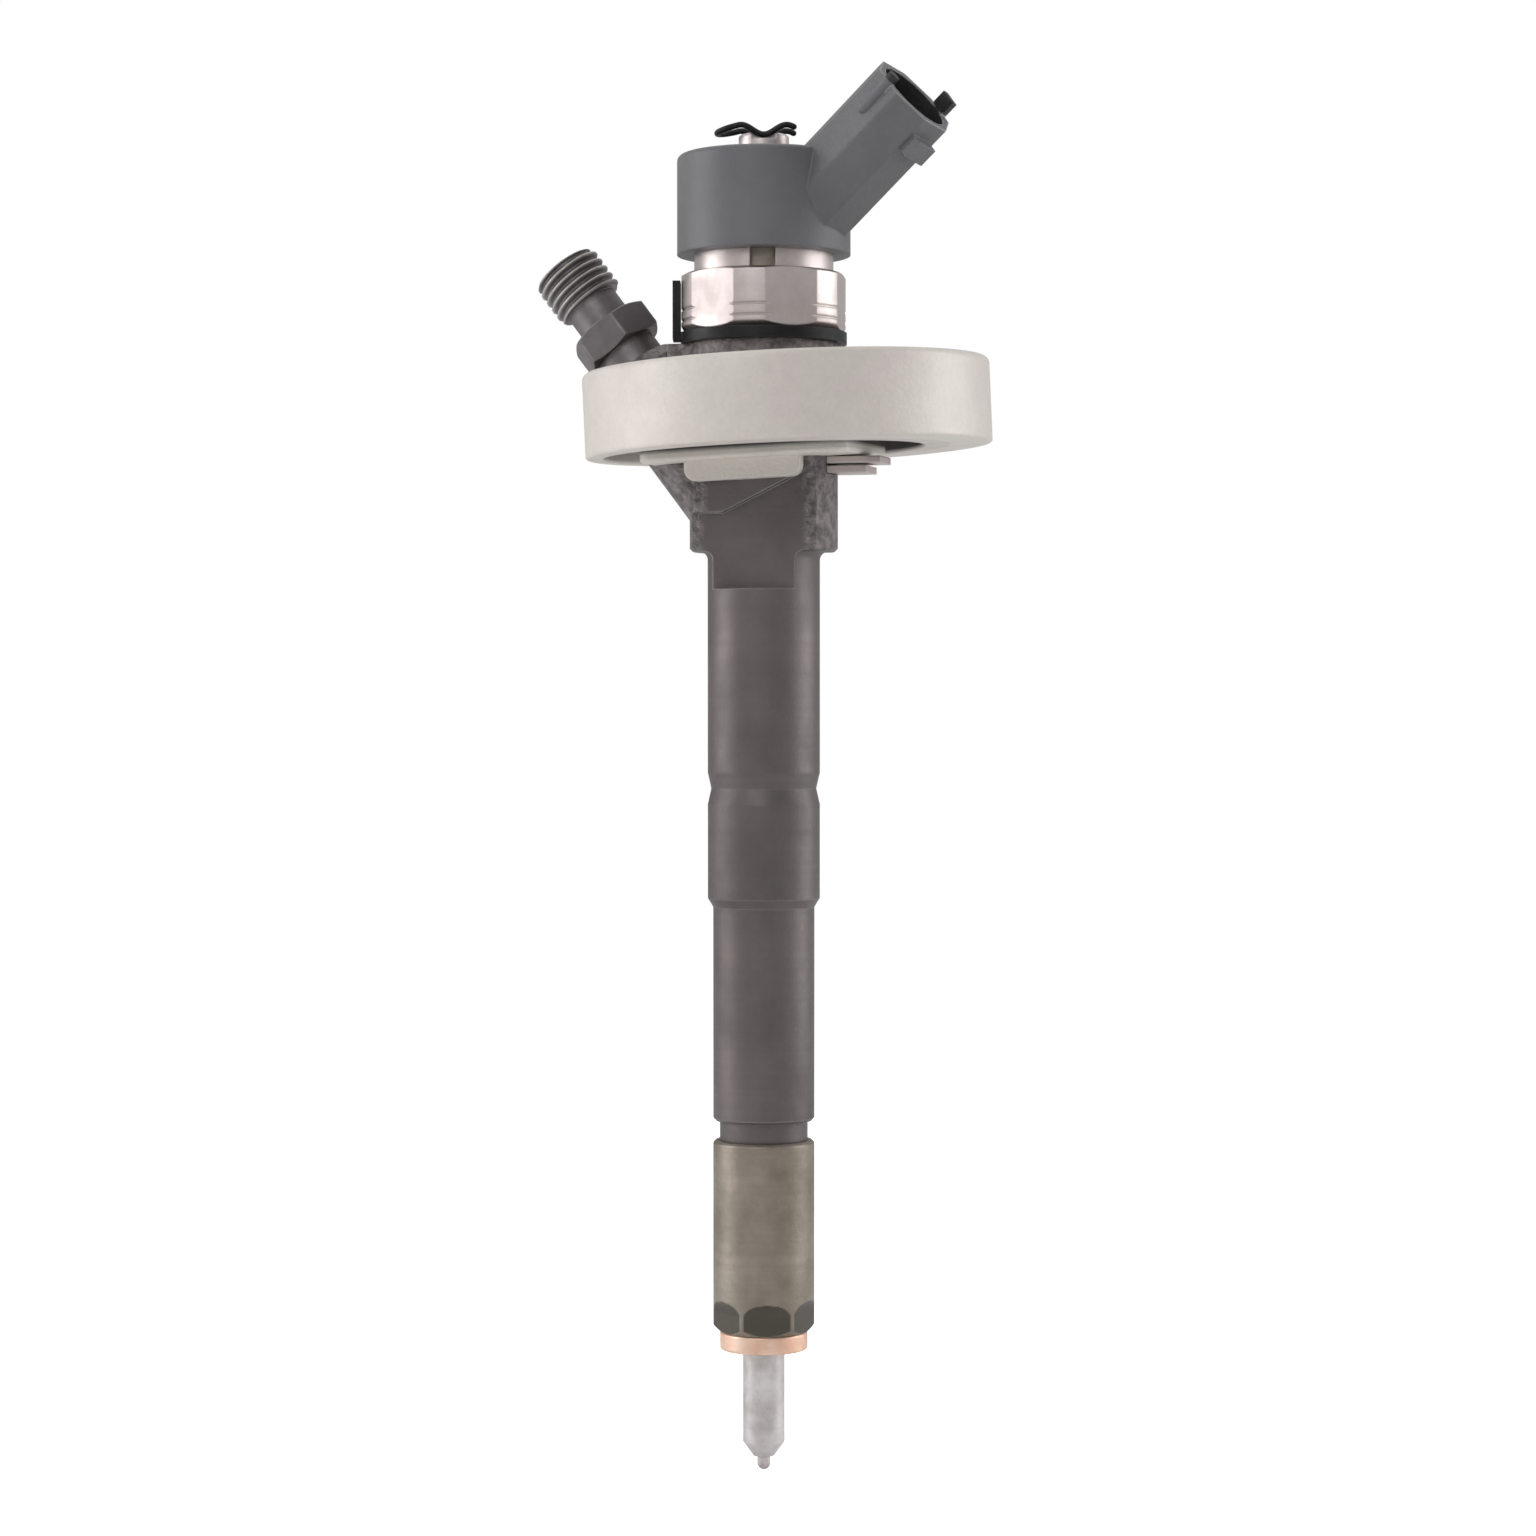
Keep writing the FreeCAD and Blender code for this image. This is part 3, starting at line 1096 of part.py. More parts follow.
def return_clip():
    """Bent wire clip: two arched legs over the port, joined by a bow at the back."""
    corners = []
    for step in range(WIRE_STEPS + 1):
        along = WIRE_FRONT + (WIRE_BACK - WIRE_FRONT) * step / WIRE_STEPS
        corners.append(FreeCAD.Vector(along, -WIRE_Y, wire_height(along)))
    for step in range(1, BOW_STEPS):
        angle = math.pi * step / BOW_STEPS
        reach = math.sin(angle)
        z = wire_height(WIRE_BACK) - WIRE_BOW_DROP * reach
        corners.append(FreeCAD.Vector(WIRE_BACK - WIRE_Y * reach, -WIRE_Y * math.cos(angle), z))
    for corner in reversed(corners[:WIRE_STEPS + 1]):
        corners.append(FreeCAD.Vector(corner.x, WIRE_Y, corner.z))
    lengths = []
    for start, end in zip(corners, corners[1:]):
        lengths += [drilling(WIRE_R, start, end), Part.makeSphere(WIRE_R, end)]
    wire = Part.makeSphere(WIRE_R, corners[0]).fuse(lengths)
    wire.rotate(ORIGIN, UP, WIRE_TURN)
    return wire


def tilted(shape):
    """Sets a shape built on the cap's own flat rim plane at the cap's place and tilt."""
    moved = shape.copy()
    moved.rotate(ORIGIN, FreeCAD.Vector(0, 1, 0), -CAP_TILT_SIDE)
    moved.rotate(ORIGIN, FreeCAD.Vector(1, 0, 0), CAP_TILT_NEAR)
    moved.translate(FreeCAD.Vector(0, 0, CAP_Z))
    return moved


def edges_at(shape, z):
    """The edges of a shape that lie flat at one height."""
    found = []
    for edge in shape.Edges:
        ends = [vertex.Point.z for vertex in edge.Vertexes]
        if max(ends) - z < SLIP_CLEARANCE and z - min(ends) < SLIP_CLEARANCE:
            found.append(edge)
    return found


def cap_disc():
    """Round body of the cap with its edges rounded, hollowed from below off the rim's centre."""
    disc = Part.makeCylinder(CAP_R, CAP_THICKNESS, FreeCAD.Vector(CAP_X, 0, 0))
    disc = disc.makeFillet(CAP_EDGE, edges_at(disc, CAP_THICKNESS))
    hollow = rod(CAP_HOLLOW_R, 0, CAP_HOLLOW_DEPTH)
    hollow = hollow.makeFillet(CAP_EDGE, edges_at(hollow, CAP_HOLLOW_DEPTH))
    disc = disc.cut(hollow)
    return disc.makeFillet(CAP_RIM_EDGE, edges_at(disc, 0))


def cap_hub():
    """Block round the head, with rounded corners, that hangs a little below the cap's rim."""
    length = HUB_HALF_LENGTH
    width = HUB_HALF_WIDTH
    hub = block(-length, length, -width, width, -HUB_DROP, CAP_HOLLOW_DEPTH + CAP_EDGE)
    upright = [edge for edge in hub.Edges if edge.BoundBox.ZLength > CAP_HOLLOW_DEPTH]
    hub = hub.makeFillet(HUB_CORNER, upright)
    return hub.makeFillet(HUB_EDGE, edges_at(hub, -HUB_DROP))


def cap_tongues():
    """Two short tongues that reach down over the flats, one on each side of the head."""
    half = TONGUE_WIDTH / 2
    tongue = block(TONGUE_X - half, TONGUE_X + half, -TONGUE_OUT, TONGUE_OUT, -TONGUE_DROP, 0)
    low_edges = [edge for edge in edges_at(tongue, -TONGUE_DROP) if edge.BoundBox.YLength > TONGUE_OUT]
    tongue = tongue.makeFillet(TONGUE_CORNER, low_edges)
    return tongue.cut(block(-FAR, FAR, -PAD_OFFSET, PAD_OFFSET, -FAR, -HUB_DROP))


def sealing_cap(outside):
    """Cast cap round the head and the inlet boss: rim, thin floor, hub block and two tongues."""
    whole = tilted(cap_disc().fuse([cap_hub(), cap_tongues()]))
    adapter_way = on_inlet(rod(BOSS_R, 0, FAR))
    solids = whole.cut([outside, adapter_way]).Solids
    return max(solids, key=lambda solid: solid.Volume)


def cap_key():
    """Folded sheet key, pushed into the head's slot, that holds the cap up from below."""
    half = KEY_WIDTH / 2
    upper = block(KEY_START, KEY_END, -half, half, KEY_TOP_Z - KEY_SHEET, KEY_TOP_Z)
    lower = block(KEY_START, KEY_END - KEY_STEP, -half, half, KEY_LOW_Z, KEY_LOW_Z + KEY_SHEET)
    fold = block(KEY_START, KEY_START + KEY_SHEET, -half, half, KEY_LOW_Z, KEY_TOP_Z)
    return upper.fuse([lower, fold])


def save(name, shape):
    shape.exportStep("parts/" + name + ".step")


os.makedirs("parts", exist_ok=True)
outside = body_outside()
pins = terminals()
shim_z = SPRING_BORE_TOP_Z - SHIM_THICKNESS
save("injector_body", injector_body(outside))
save("inlet_adapter", inlet_adapter())
save("edge_filter", edge_filter())
save("dowel_pins", dowels())
save("nozzle_body", nozzle_body())
save("nozzle_needle", nozzle_needle())
save("nozzle_nut", nozzle_nut())
save("combustion_washer", combustion_washer())
save("spring_seat", spring_seat())
save("nozzle_spring", coil_spring(
    NOZZLE_SPRING_R, NOZZLE_SPRING_WIRE_R, NOZZLE_SPRING_Z, shim_z, NOZZLE_SPRING_TURNS))
save("nozzle_spring_shim", nozzle_spring_shim())
save("control_piston", control_piston())
save("high_pressure_seal", high_pressure_seal())
save("valve_body", valve_body())
save("valve_ball", valve_ball())
save("ball_holder", ball_holder())
save("lift_shim", lift_shim())
save("armature_guide", armature_guide())
save("clamp_screw", clamp_screw())
save("armature_bolt", armature_bolt())
save("bolt_clip", bolt_clip())
save("armature_plate", armature_plate())
save("overtravel_spring", coil_spring(
    OVERTRAVEL_SPRING_R, OVERTRAVEL_WIRE_R, SCREW_Z, ARMATURE_Z, OVERTRAVEL_TURNS))
save("valve_spring", coil_spring(
    VALVE_SPRING_R, VALVE_SPRING_WIRE_R, VALVE_SPRING_Z, VALVE_SPRING_TOP_Z, VALVE_SPRING_TURNS))
save("spring_shim", spring_shim())
save("magnet_core", magnet_core())
save("coil_bobbin", coil_bobbin())
save("coil_winding", coil_winding())
save("solenoid_sleeve", solenoid_sleeve())
save("solenoid_o_ring", solenoid_o_ring())
save("solenoid_nut", solenoid_nut())
save("lock_washer", lock_washer())
save("guard_ring", guard_ring())
save("terminals", pins)
save("connector_housing", connector_housing(pins))
save("return_port", return_port())
save("return_clip", return_clip())
save("sealing_cap", sealing_cap(outside))
save("cap_key", cap_key())
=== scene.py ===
import json
import math

import bpy
import bmesh
import numpy as np
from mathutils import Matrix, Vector


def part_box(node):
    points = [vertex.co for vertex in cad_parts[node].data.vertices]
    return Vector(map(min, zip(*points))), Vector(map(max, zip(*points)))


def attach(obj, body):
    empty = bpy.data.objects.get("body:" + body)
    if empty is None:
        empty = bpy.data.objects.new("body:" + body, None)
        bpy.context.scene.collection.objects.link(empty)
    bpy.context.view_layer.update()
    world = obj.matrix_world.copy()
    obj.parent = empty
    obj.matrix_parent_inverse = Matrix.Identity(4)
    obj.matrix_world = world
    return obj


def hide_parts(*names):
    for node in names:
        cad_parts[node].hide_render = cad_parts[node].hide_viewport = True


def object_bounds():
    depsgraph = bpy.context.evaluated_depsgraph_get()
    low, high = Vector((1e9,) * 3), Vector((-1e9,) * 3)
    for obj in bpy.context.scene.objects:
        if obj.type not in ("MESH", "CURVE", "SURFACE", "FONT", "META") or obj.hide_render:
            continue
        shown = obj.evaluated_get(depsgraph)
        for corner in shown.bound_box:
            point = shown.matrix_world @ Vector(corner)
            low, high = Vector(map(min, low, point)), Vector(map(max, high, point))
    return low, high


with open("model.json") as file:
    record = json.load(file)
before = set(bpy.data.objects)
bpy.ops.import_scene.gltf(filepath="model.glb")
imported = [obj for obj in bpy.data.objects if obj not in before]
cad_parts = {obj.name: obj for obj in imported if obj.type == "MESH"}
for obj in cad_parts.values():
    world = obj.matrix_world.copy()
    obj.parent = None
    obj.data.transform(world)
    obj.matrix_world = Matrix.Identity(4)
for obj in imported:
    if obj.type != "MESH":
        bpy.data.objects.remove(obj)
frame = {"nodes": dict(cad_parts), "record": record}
cad_low, cad_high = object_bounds()
nodes = frame["nodes"]
mounts = {mount["name"]: mount for mount in frame["record"]["mounts"]}
MM = 0.001


# ---- Nozzle ----
# Hardened steel, ground bright on its shank and dulled round the spray holes at its tip.
# It is held against the body by the sleeve nut, with the copper washer round its shank.

def fill_sockets(tree, made, sockets):
    """Joins each named socket to the output given for it, or sets it to the value given."""
    for name, value in sockets.items():
        if isinstance(value, bpy.types.NodeSocket):
            tree.links.new(value, made.inputs[name])
        else:
            made.inputs[name].default_value = value


def add_node(tree, kind, sockets=None, **settings):
    """One shader node with its settings and its filled sockets."""
    made = tree.nodes.new("ShaderNode" + kind)
    for name, value in settings.items():
        setattr(made, name, value)
    fill_sockets(tree, made, sockets or {})
    return made


def new_group(name, inputs, outputs):
    """An empty shader group with named sockets; returns its tree, its input node and its output node."""
    tree = bpy.data.node_groups.new(name, "ShaderNodeTree")
    for socket, kind, value in inputs:
        made = tree.interface.new_socket(socket, in_out="INPUT", socket_type="NodeSocket" + kind)
        if value is not None:
            made.default_value = value
    for socket, kind in outputs:
        tree.interface.new_socket(socket, in_out="OUTPUT", socket_type="NodeSocket" + kind)
    return tree, tree.nodes.new("NodeGroupInput"), tree.nodes.new("NodeGroupOutput")


def use_group(tree, group, sockets):
    """A shader group placed in a tree with its filled sockets."""
    made = tree.nodes.new("ShaderNodeGroup")
    made.node_tree = group
    fill_sockets(tree, made, sockets)
    return made


def lathe_lines_group():
    """Fine lines round an axis: noise along the axis only, so every line is a full ring."""
    inputs = [("Vector", "Vector", None), ("Axis", "Vector", (0, 0, 1)), ("Pitch", "Float", 0.0004)]
    tree, start, end = new_group("lathe lines", inputs, [("Lines", "Float")])
    along = add_node(tree, "VectorMath", {0: start.outputs["Vector"], 1: start.outputs["Axis"]},
                     operation="DOT_PRODUCT")
    turns = add_node(tree, "Math", {0: along.outputs["Value"], 1: start.outputs["Pitch"]}, operation="DIVIDE")
    noise = add_node(tree, "TexNoise", {"W": turns.outputs[0], "Scale": 1.0, "Detail": 3.0},
                     noise_dimensions="1D")
    tree.links.new(noise.outputs[0], end.inputs["Lines"])
    return tree


def blotch_group():
    """Soft uneven patches of a given size, from 0 to 1."""
    tree, start, end = new_group(
        "blotches", [("Vector", "Vector", None), ("Size", "Float", 0.01)], [("Patches", "Float")])
    scale = add_node(tree, "Math", {0: 1.0, 1: start.outputs["Size"]}, operation="DIVIDE")
    noise = add_node(tree, "TexNoise", {
        "Vector": start.outputs["Vector"], "Scale": scale.outputs[0], "Detail": 4.0, "Roughness": 0.6})
    spread = add_node(tree, "MapRange", {"Value": noise.outputs[0], "From Min": 0.36, "From Max": 0.64})
    tree.links.new(spread.outputs[0], end.inputs["Patches"])
    return tree


def soft_edge_group():
    """Rounds edges in the light, and finds them: how far the rounded normal turns from the face's own."""
    tree, start, end = new_group(
        "soft edges", [("Radius", "Float", 0.0003)], [("Edge", "Float"), ("Normal", "Vector")])
    rounded = add_node(tree, "Bevel", {"Radius": start.outputs["Radius"]}, samples=4)
    own = add_node(tree, "NewGeometry")
    same = add_node(tree, "VectorMath", {0: rounded.outputs[0], 1: own.outputs["Normal"]},
                    operation="DOT_PRODUCT")
    edge = add_node(tree, "MapRange", {"Value": same.outputs["Value"], "From Min": 0.98, "From Max": 0.8})
    tree.links.new(edge.outputs[0], end.inputs["Edge"])
    tree.links.new(rounded.outputs[0], end.inputs["Normal"])
    return tree


lathe_lines = lathe_lines_group()
blotches = blotch_group()
soft_edges = soft_edge_group()


def new_material(name):
    """A material with a plain surface; returns it, its tree and its surface node."""
    made = bpy.data.materials.new(name)
    made.use_nodes = True
    return made, made.node_tree, made.node_tree.nodes["Principled BSDF"]


def mixed(tree, share, first, second):
    """Colour that goes from the first to the second as share goes from 0 to 1."""
    made = add_node(tree, "Mix", {"Factor": share}, data_type="RGBA")
    for socket, value in ((made.inputs[6], first), (made.inputs[7], second)):
        if isinstance(value, bpy.types.NodeSocket):
            tree.links.new(value, socket)
        else:
            socket.default_value = (*value, 1)
    return made.outputs[2]


def scaled(tree, value, factor):
    """The product of two numbers or outputs."""
    return add_node(tree, "Math", {0: value, 1: factor}, operation="MULTIPLY").outputs[0]


def summed(tree, first, second):
    """The sum of two numbers or outputs."""
    return add_node(tree, "Math", {0: first, 1: second}, operation="ADD").outputs[0]


def metal(name, colour, stain, worn, roughness, metallic=1.0, axis=(0, 0, 1), pitch=0.0005,
          line_height=0.5, patch=0.012, grain=0.0004, grain_height=0.4, height=0.00002, edge=0.0003,
          edge_wear=0.6, marked=None):
    """Machined metal: stained in patches, ringed by the tool, grained, and worn bright along its edges.
    Where the piece carries marks, those parts take the marked colour."""
    made, tree, surface = new_material(name)
    place = add_node(tree, "TexCoord").outputs["Object"]
    lines = use_group(tree, lathe_lines, {"Vector": place, "Axis": axis, "Pitch": pitch}).outputs["Lines"]
    patches = use_group(tree, blotches, {"Vector": place, "Size": patch}).outputs["Patches"]
    grains = use_group(tree, blotches, {"Vector": place, "Size": grain}).outputs["Patches"]
    edges = use_group(tree, soft_edges, {"Radius": edge})
    wear = scaled(tree, edges.outputs["Edge"], edge_wear)
    body = mixed(tree, patches, colour, stain)
    streaked = mixed(tree, scaled(tree, lines, 0.35), body, stain)
    if marked:
        marks = add_node(tree, "Attribute", attribute_name="marks").outputs["Fac"]
        streaked = mixed(tree, marks, streaked, marked)
    rough = summed(tree, scaled(tree, patches, 0.12), roughness)
    rough = summed(tree, rough, scaled(tree, lines, 0.1))
    relief = summed(tree, scaled(tree, lines, line_height), scaled(tree, grains, grain_height))
    bump = add_node(tree, "Bump", {
        "Strength": 1.0, "Distance": height, "Height": relief, "Normal": edges.outputs["Normal"]})
    fill_sockets(tree, surface, {
        "Base Color": mixed(tree, wear, streaked, worn), "Roughness": rough, "Metallic": metallic,
        "Normal": bump.outputs[0]})
    return made


def finish(material, *names):
    """Gives CAD nodes this material in place of the plain one."""
    for name in names:
        slots = nodes[name].data.materials
        slots.clear()
        slots.append(material)


nozzle_steel = metal("ground nozzle steel", (0.78, 0.75, 0.74), (0.5, 0.46, 0.45), (0.9, 0.89, 0.87), 0.25,
                     pitch=0.0007, patch=0.006, height=0.000012, edge=0.0002)
finish(nozzle_steel, "nozzle_body")


# ---- Copper washer ----
# Soft copper ring, turned from bar and annealed, which seals the nozzle hole against the head.
# It is squeezed between the nut's foot and the seat, so its edges are a little rounded.

WASHER_EDGE = 0.4 * MM
WASHER_HOLE_R = 3.75 * MM
SAME_PLACE = 1e-7


def softened(corners, reach, steps=5):
    """Closed outline whose corners are eased: each corner gives way to a parabola that leaves one side and
    joins the next at the given reach from the corner, with a guard point half a reach further on each
    side."""
    corners = np.asarray(corners, float)
    reach = np.broadcast_to(np.asarray(reach, float), len(corners))[:, None]
    back = np.roll(corners, 1, axis=0) - corners
    on = np.roll(corners, -1, axis=0) - corners
    back /= np.linalg.norm(back, axis=1)[:, None]
    on /= np.linalg.norm(on, axis=1)[:, None]
    share = np.linspace(0, 1, steps)[None, :, None]
    start = (corners + back * reach)[:, None]
    end = (corners + on * reach)[:, None]
    curve = (1 - share) ** 2 * start + 2 * share * (1 - share) * corners[:, None] + share ** 2 * end
    guards = (corners + back * reach * 1.5)[:, None], (corners + on * reach * 1.5)[:, None]
    return np.concatenate([guards[0], curve, guards[1]], axis=1).reshape(-1, 2)


def divided(outline, spacing):
    """The same closed outline with more points, so that no two are further apart than the spacing."""
    closed = np.vstack([outline, outline[:1]])
    run = np.concatenate([[0], np.cumsum(np.linalg.norm(np.diff(closed, axis=0), axis=1))])
    places = np.union1d(run, np.arange(0, run[-1], spacing))
    keep = np.concatenate([[True], np.diff(places) > SAME_PLACE])
    places = places[keep][:-1]
    return np.stack([np.interp(places, run, closed[:, 0]), np.interp(places, run, closed[:, 1])], axis=1)


def round_points(radii, along, angles, origin=(0, 0, 0), across=((1, 0, 0), (0, 1, 0)), axis=(0, 0, 1)):
    """Points round an axis: origin + axis * along + radius * (first * cos(angle) + second * sin(angle))."""
    first, second = np.array(across, float)
    way = np.cos(angles)[None, :, None] * first + np.sin(angles)[None, :, None] * second
    return np.array(origin) + np.array(axis) * along[..., None] + radii[..., None] * way


def skin(name, points, body, stands_for=(), closed=(True, True), marks=None):
    """Piece whose faces join each point of a grid to its next neighbours both ways; a closed way joins its
    last line to its first. Doubles at poles are merged and the faces are turned outwards."""
    rows, columns = points.shape[:2]
    number = np.arange(rows * columns).reshape(rows, columns)
    down = np.roll(number, -1, axis=0)
    faces = np.stack([number, np.roll(number, -1, axis=1), np.roll(down, -1, axis=1), down], axis=-1)
    faces = faces[:rows if closed[0] else -1, :columns if closed[1] else -1]
    mesh = bpy.data.meshes.new(name)
    mesh.from_pydata(points.reshape(-1, 3).tolist(), [], faces.reshape(-1, 4).tolist())
    if marks is not None:
        values = mesh.attributes.new("marks", "FLOAT", "POINT").data
        values.foreach_set("value", marks.astype(np.float32).ravel())
    work = bmesh.new()
    work.from_mesh(mesh)
    bmesh.ops.remove_doubles(work, verts=work.verts, dist=SAME_PLACE)
    bmesh.ops.recalc_face_normals(work, faces=work.faces)
    work.to_mesh(mesh)
    work.free()
    mesh.shade_smooth()
    piece = bpy.data.objects.new(name, mesh)
    bpy.context.scene.collection.objects.link(piece)
    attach(piece, body)
    if stands_for:
        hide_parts(*stands_for)
    return piece


washer_low, washer_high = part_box("combustion_washer")
washer_outline = softened([
    (WASHER_HOLE_R, washer_low.z), (washer_high.x, washer_low.z),
    (washer_high.x, washer_high.z), (WASHER_HOLE_R, washer_high.z)], WASHER_EDGE)
washer_angles = np.linspace(0, 2 * np.pi, 144, endpoint=False)
washer_radii = washer_outline[:, :1] + 0 * washer_angles
washer_heights = washer_outline[:, 1:] + 0 * washer_angles
copper_washer = skin("copper_washer", round_points(washer_radii, washer_heights, washer_angles),
                     "injector", ["combustion_washer"])
copper = metal("annealed copper", (0.93, 0.72, 0.58), (0.82, 0.53, 0.4), (1.0, 0.9, 0.8), 0.34,
               pitch=0.0009, patch=0.004, height=0.00002, edge=0.0001)
copper_washer.data.materials.append(copper)


# ---- Nozzle nut ----
# Sleeve nut turned from steel, plated a warm grey and stained by handling. Six flats for the wrench
# are milled round its foot with a wheel, which leaves each one with an arched top.

NUT_WALL = 1.25 * MM
NUT_SOLE = 2.5 * MM
NUT_FOOT_CHAMFER = 1.1 * MM
NUT_TOP_CHAMFER = 0.5 * MM
NUT_EASING = 0.15 * MM
NUT_MESH = 0.22 * MM
NUT_SIDES = 216
NUT_MARK_FADE = 0.06 * MM
NUT_FLATS_HALF = 7.5 * MM
NUT_FLATS_TOP = 5.5 * MM
NUT_WHEEL_R = 3.0 * MM
NUT_FLATS_TURN = math.radians(-10)


def hexagon_r(angles, half_width, turn):
    """Distance from the axis to a hexagon's side: half its width over the cosine of the angle to the
    nearest flat."""
    third = math.pi / 3
    return half_width / np.cos((angles - turn + third / 2) % third - third / 2)


nut_low, nut_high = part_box("nozzle_nut")
nut_r = mounts["stem_barrel"]["dims"]["r_mm"] * MM
nut_bore = nut_r - NUT_WALL
nut_shoulder = nut_low.z + NUT_SOLE
nut_outline = softened([
    (WASHER_HOLE_R, nut_low.z), (nut_r - NUT_FOOT_CHAMFER, nut_low.z),
    (nut_r, nut_low.z + NUT_FOOT_CHAMFER), (nut_r, nut_high.z - NUT_TOP_CHAMFER),
    (nut_r - NUT_TOP_CHAMFER, nut_high.z), (nut_bore, nut_high.z), (nut_bore, nut_shoulder),
    (WASHER_HOLE_R, nut_shoulder)], NUT_EASING)
nut_outline = divided(nut_outline, NUT_MESH)
nut_angles = np.linspace(0, 2 * np.pi, NUT_SIDES, endpoint=False)
nut_heights = nut_outline[:, 1:] + 0 * nut_angles
wheel_rise = math.sqrt(NUT_WHEEL_R ** 2 - (NUT_WHEEL_R - (nut_r - NUT_FLATS_HALF)) ** 2)
above_wheel = np.clip(nut_heights - (nut_low.z + NUT_FLATS_TOP - wheel_rise), 0, NUT_WHEEL_R)
flats_half = NUT_FLATS_HALF + NUT_WHEEL_R - np.sqrt(NUT_WHEEL_R ** 2 - above_wheel ** 2)
milled_r = hexagon_r(nut_angles, 1.0, NUT_FLATS_TURN) * flats_half
nut_radii = np.minimum(nut_outline[:, :1], milled_r)
outside = nut_outline[:, :1] > nut_bore + 0.1 * MM
milled = np.clip((nut_outline[:, :1] - milled_r) / NUT_MARK_FADE, 0, 1) * outside
sleeve_nut = skin("sleeve_nut", round_points(nut_radii, nut_heights, nut_angles), "injector",
                  ["nozzle_nut"], marks=milled)
nut_steel = metal("stained nut steel", (0.36, 0.315, 0.27), (0.22, 0.19, 0.155), (0.62, 0.58, 0.52), 0.3,
                  metallic=0.9, pitch=0.0011, line_height=0.8, patch=0.011, height=0.00003, edge=0.0003,
                  edge_wear=0.5, marked=(0.1, 0.09, 0.075))
sleeve_nut.data.materials.append(nut_steel)


# ---- Injector body ----
# One forging of alloy steel with a dark phosphate coat. The stem is turned and the flats are milled;
# the round of the head and the inlet boss keep the rough skin of the forging.

FORGED_FROM = 10.3 * MM
FORGED_WHOLLY = 11.2 * MM
LUMP = 1.6 * MM
PIT = 0.6 * MM
FORGING_RELIEF = 0.12 * MM


def body_material():
    """Phosphate steel whose turned, milled and forged parts differ: it is forged where the surface
    stands further from the axis than the stem does."""
    made = metal("phosphate steel", (0.175, 0.153, 0.15), (0.13, 0.114, 0.112), (0.55, 0.52, 0.5), 0.36,
                 metallic=0.7, pitch=0.0012, line_height=0.6, patch=0.016, height=0.00003, edge=0.0004,
                 edge_wear=0.7)
    tree = made.node_tree
    surface = tree.nodes["Principled BSDF"]
    place = add_node(tree, "TexCoord").outputs["Object"]
    apart = add_node(tree, "SeparateXYZ", {"Vector": place})
    flat = add_node(tree, "CombineXYZ", {"X": apart.outputs["X"], "Y": apart.outputs["Y"], "Z": 0.0})
    from_axis = add_node(tree, "VectorMath", {0: flat.outputs[0]}, operation="LENGTH").outputs["Value"]
    forged = add_node(tree, "MapRange", {
        "Value": from_axis, "From Min": FORGED_FROM, "From Max": FORGED_WHOLLY}).outputs[0]
    lumps = use_group(tree, blotches, {"Vector": place, "Size": LUMP}).outputs["Patches"]
    pits = use_group(tree, blotches, {"Vector": place, "Size": PIT}).outputs["Patches"]
    skin_relief = scaled(tree, summed(tree, lumps, scaled(tree, pits, 0.6)), forged)
    turned_bump = surface.inputs["Normal"].links[0].from_node
    rough = add_node(tree, "Bump", {
        "Strength": 1.0, "Distance": FORGING_RELIEF, "Height": skin_relief, "Normal": turned_bump.outputs[0]})
    tree.links.new(rough.outputs[0], surface.inputs["Normal"])
    plain = surface.inputs["Base Color"].links[0].from_socket
    speckled = mixed(tree, lumps, (0.11, 0.098, 0.098), (0.3, 0.27, 0.27))
    tree.links.new(mixed(tree, scaled(tree, forged, 0.75), plain, speckled), surface.inputs["Base Color"])
    return made


finish(body_material(), "injector_body")


# ---- Inlet union ----
# High-pressure union screwed into the leaning boss: hexagon, relief, and the M12 x 1.5 pipe thread
# with a cone seat in its end. Dark phosphate, rubbed bright on the crests and corners.

THREAD_PITCH = 1.5 * MM
THREAD_DEPTH = 0.92 * MM
THREAD_CREST = 0.14
THREAD_ROOT = 0.2
HEX_HALF = 6.5 * MM
HEX_CORNER = 7.45 * MM
HEX_TURN = math.radians(25)
HEX_LENGTH = 5.4 * MM
ROOT_R = 5.3 * MM
ROOT_LENGTH = 13.8 * MM
RELIEF_R = 4.6 * MM
RELIEF_LENGTH = 4.8 * MM
START_CHAMFER = 0.5 * MM
MOUTH_CHAMFER = 0.6 * MM
CONE_R = 3.6 * MM
CONE_DEPTH = 2.4 * MM
FILTER_BORE_R = 2.2 * MM
FILTER_BORE_DEPTH = 18.4 * MM
DRILL_R = 1.2 * MM
UNION_EASING = 0.1 * MM
UNION_MESH = 0.125 * MM
UNION_SIDES = 156
THREAD_OVER_R = 5 * MM
HEX_OVER_R = 5.4 * MM

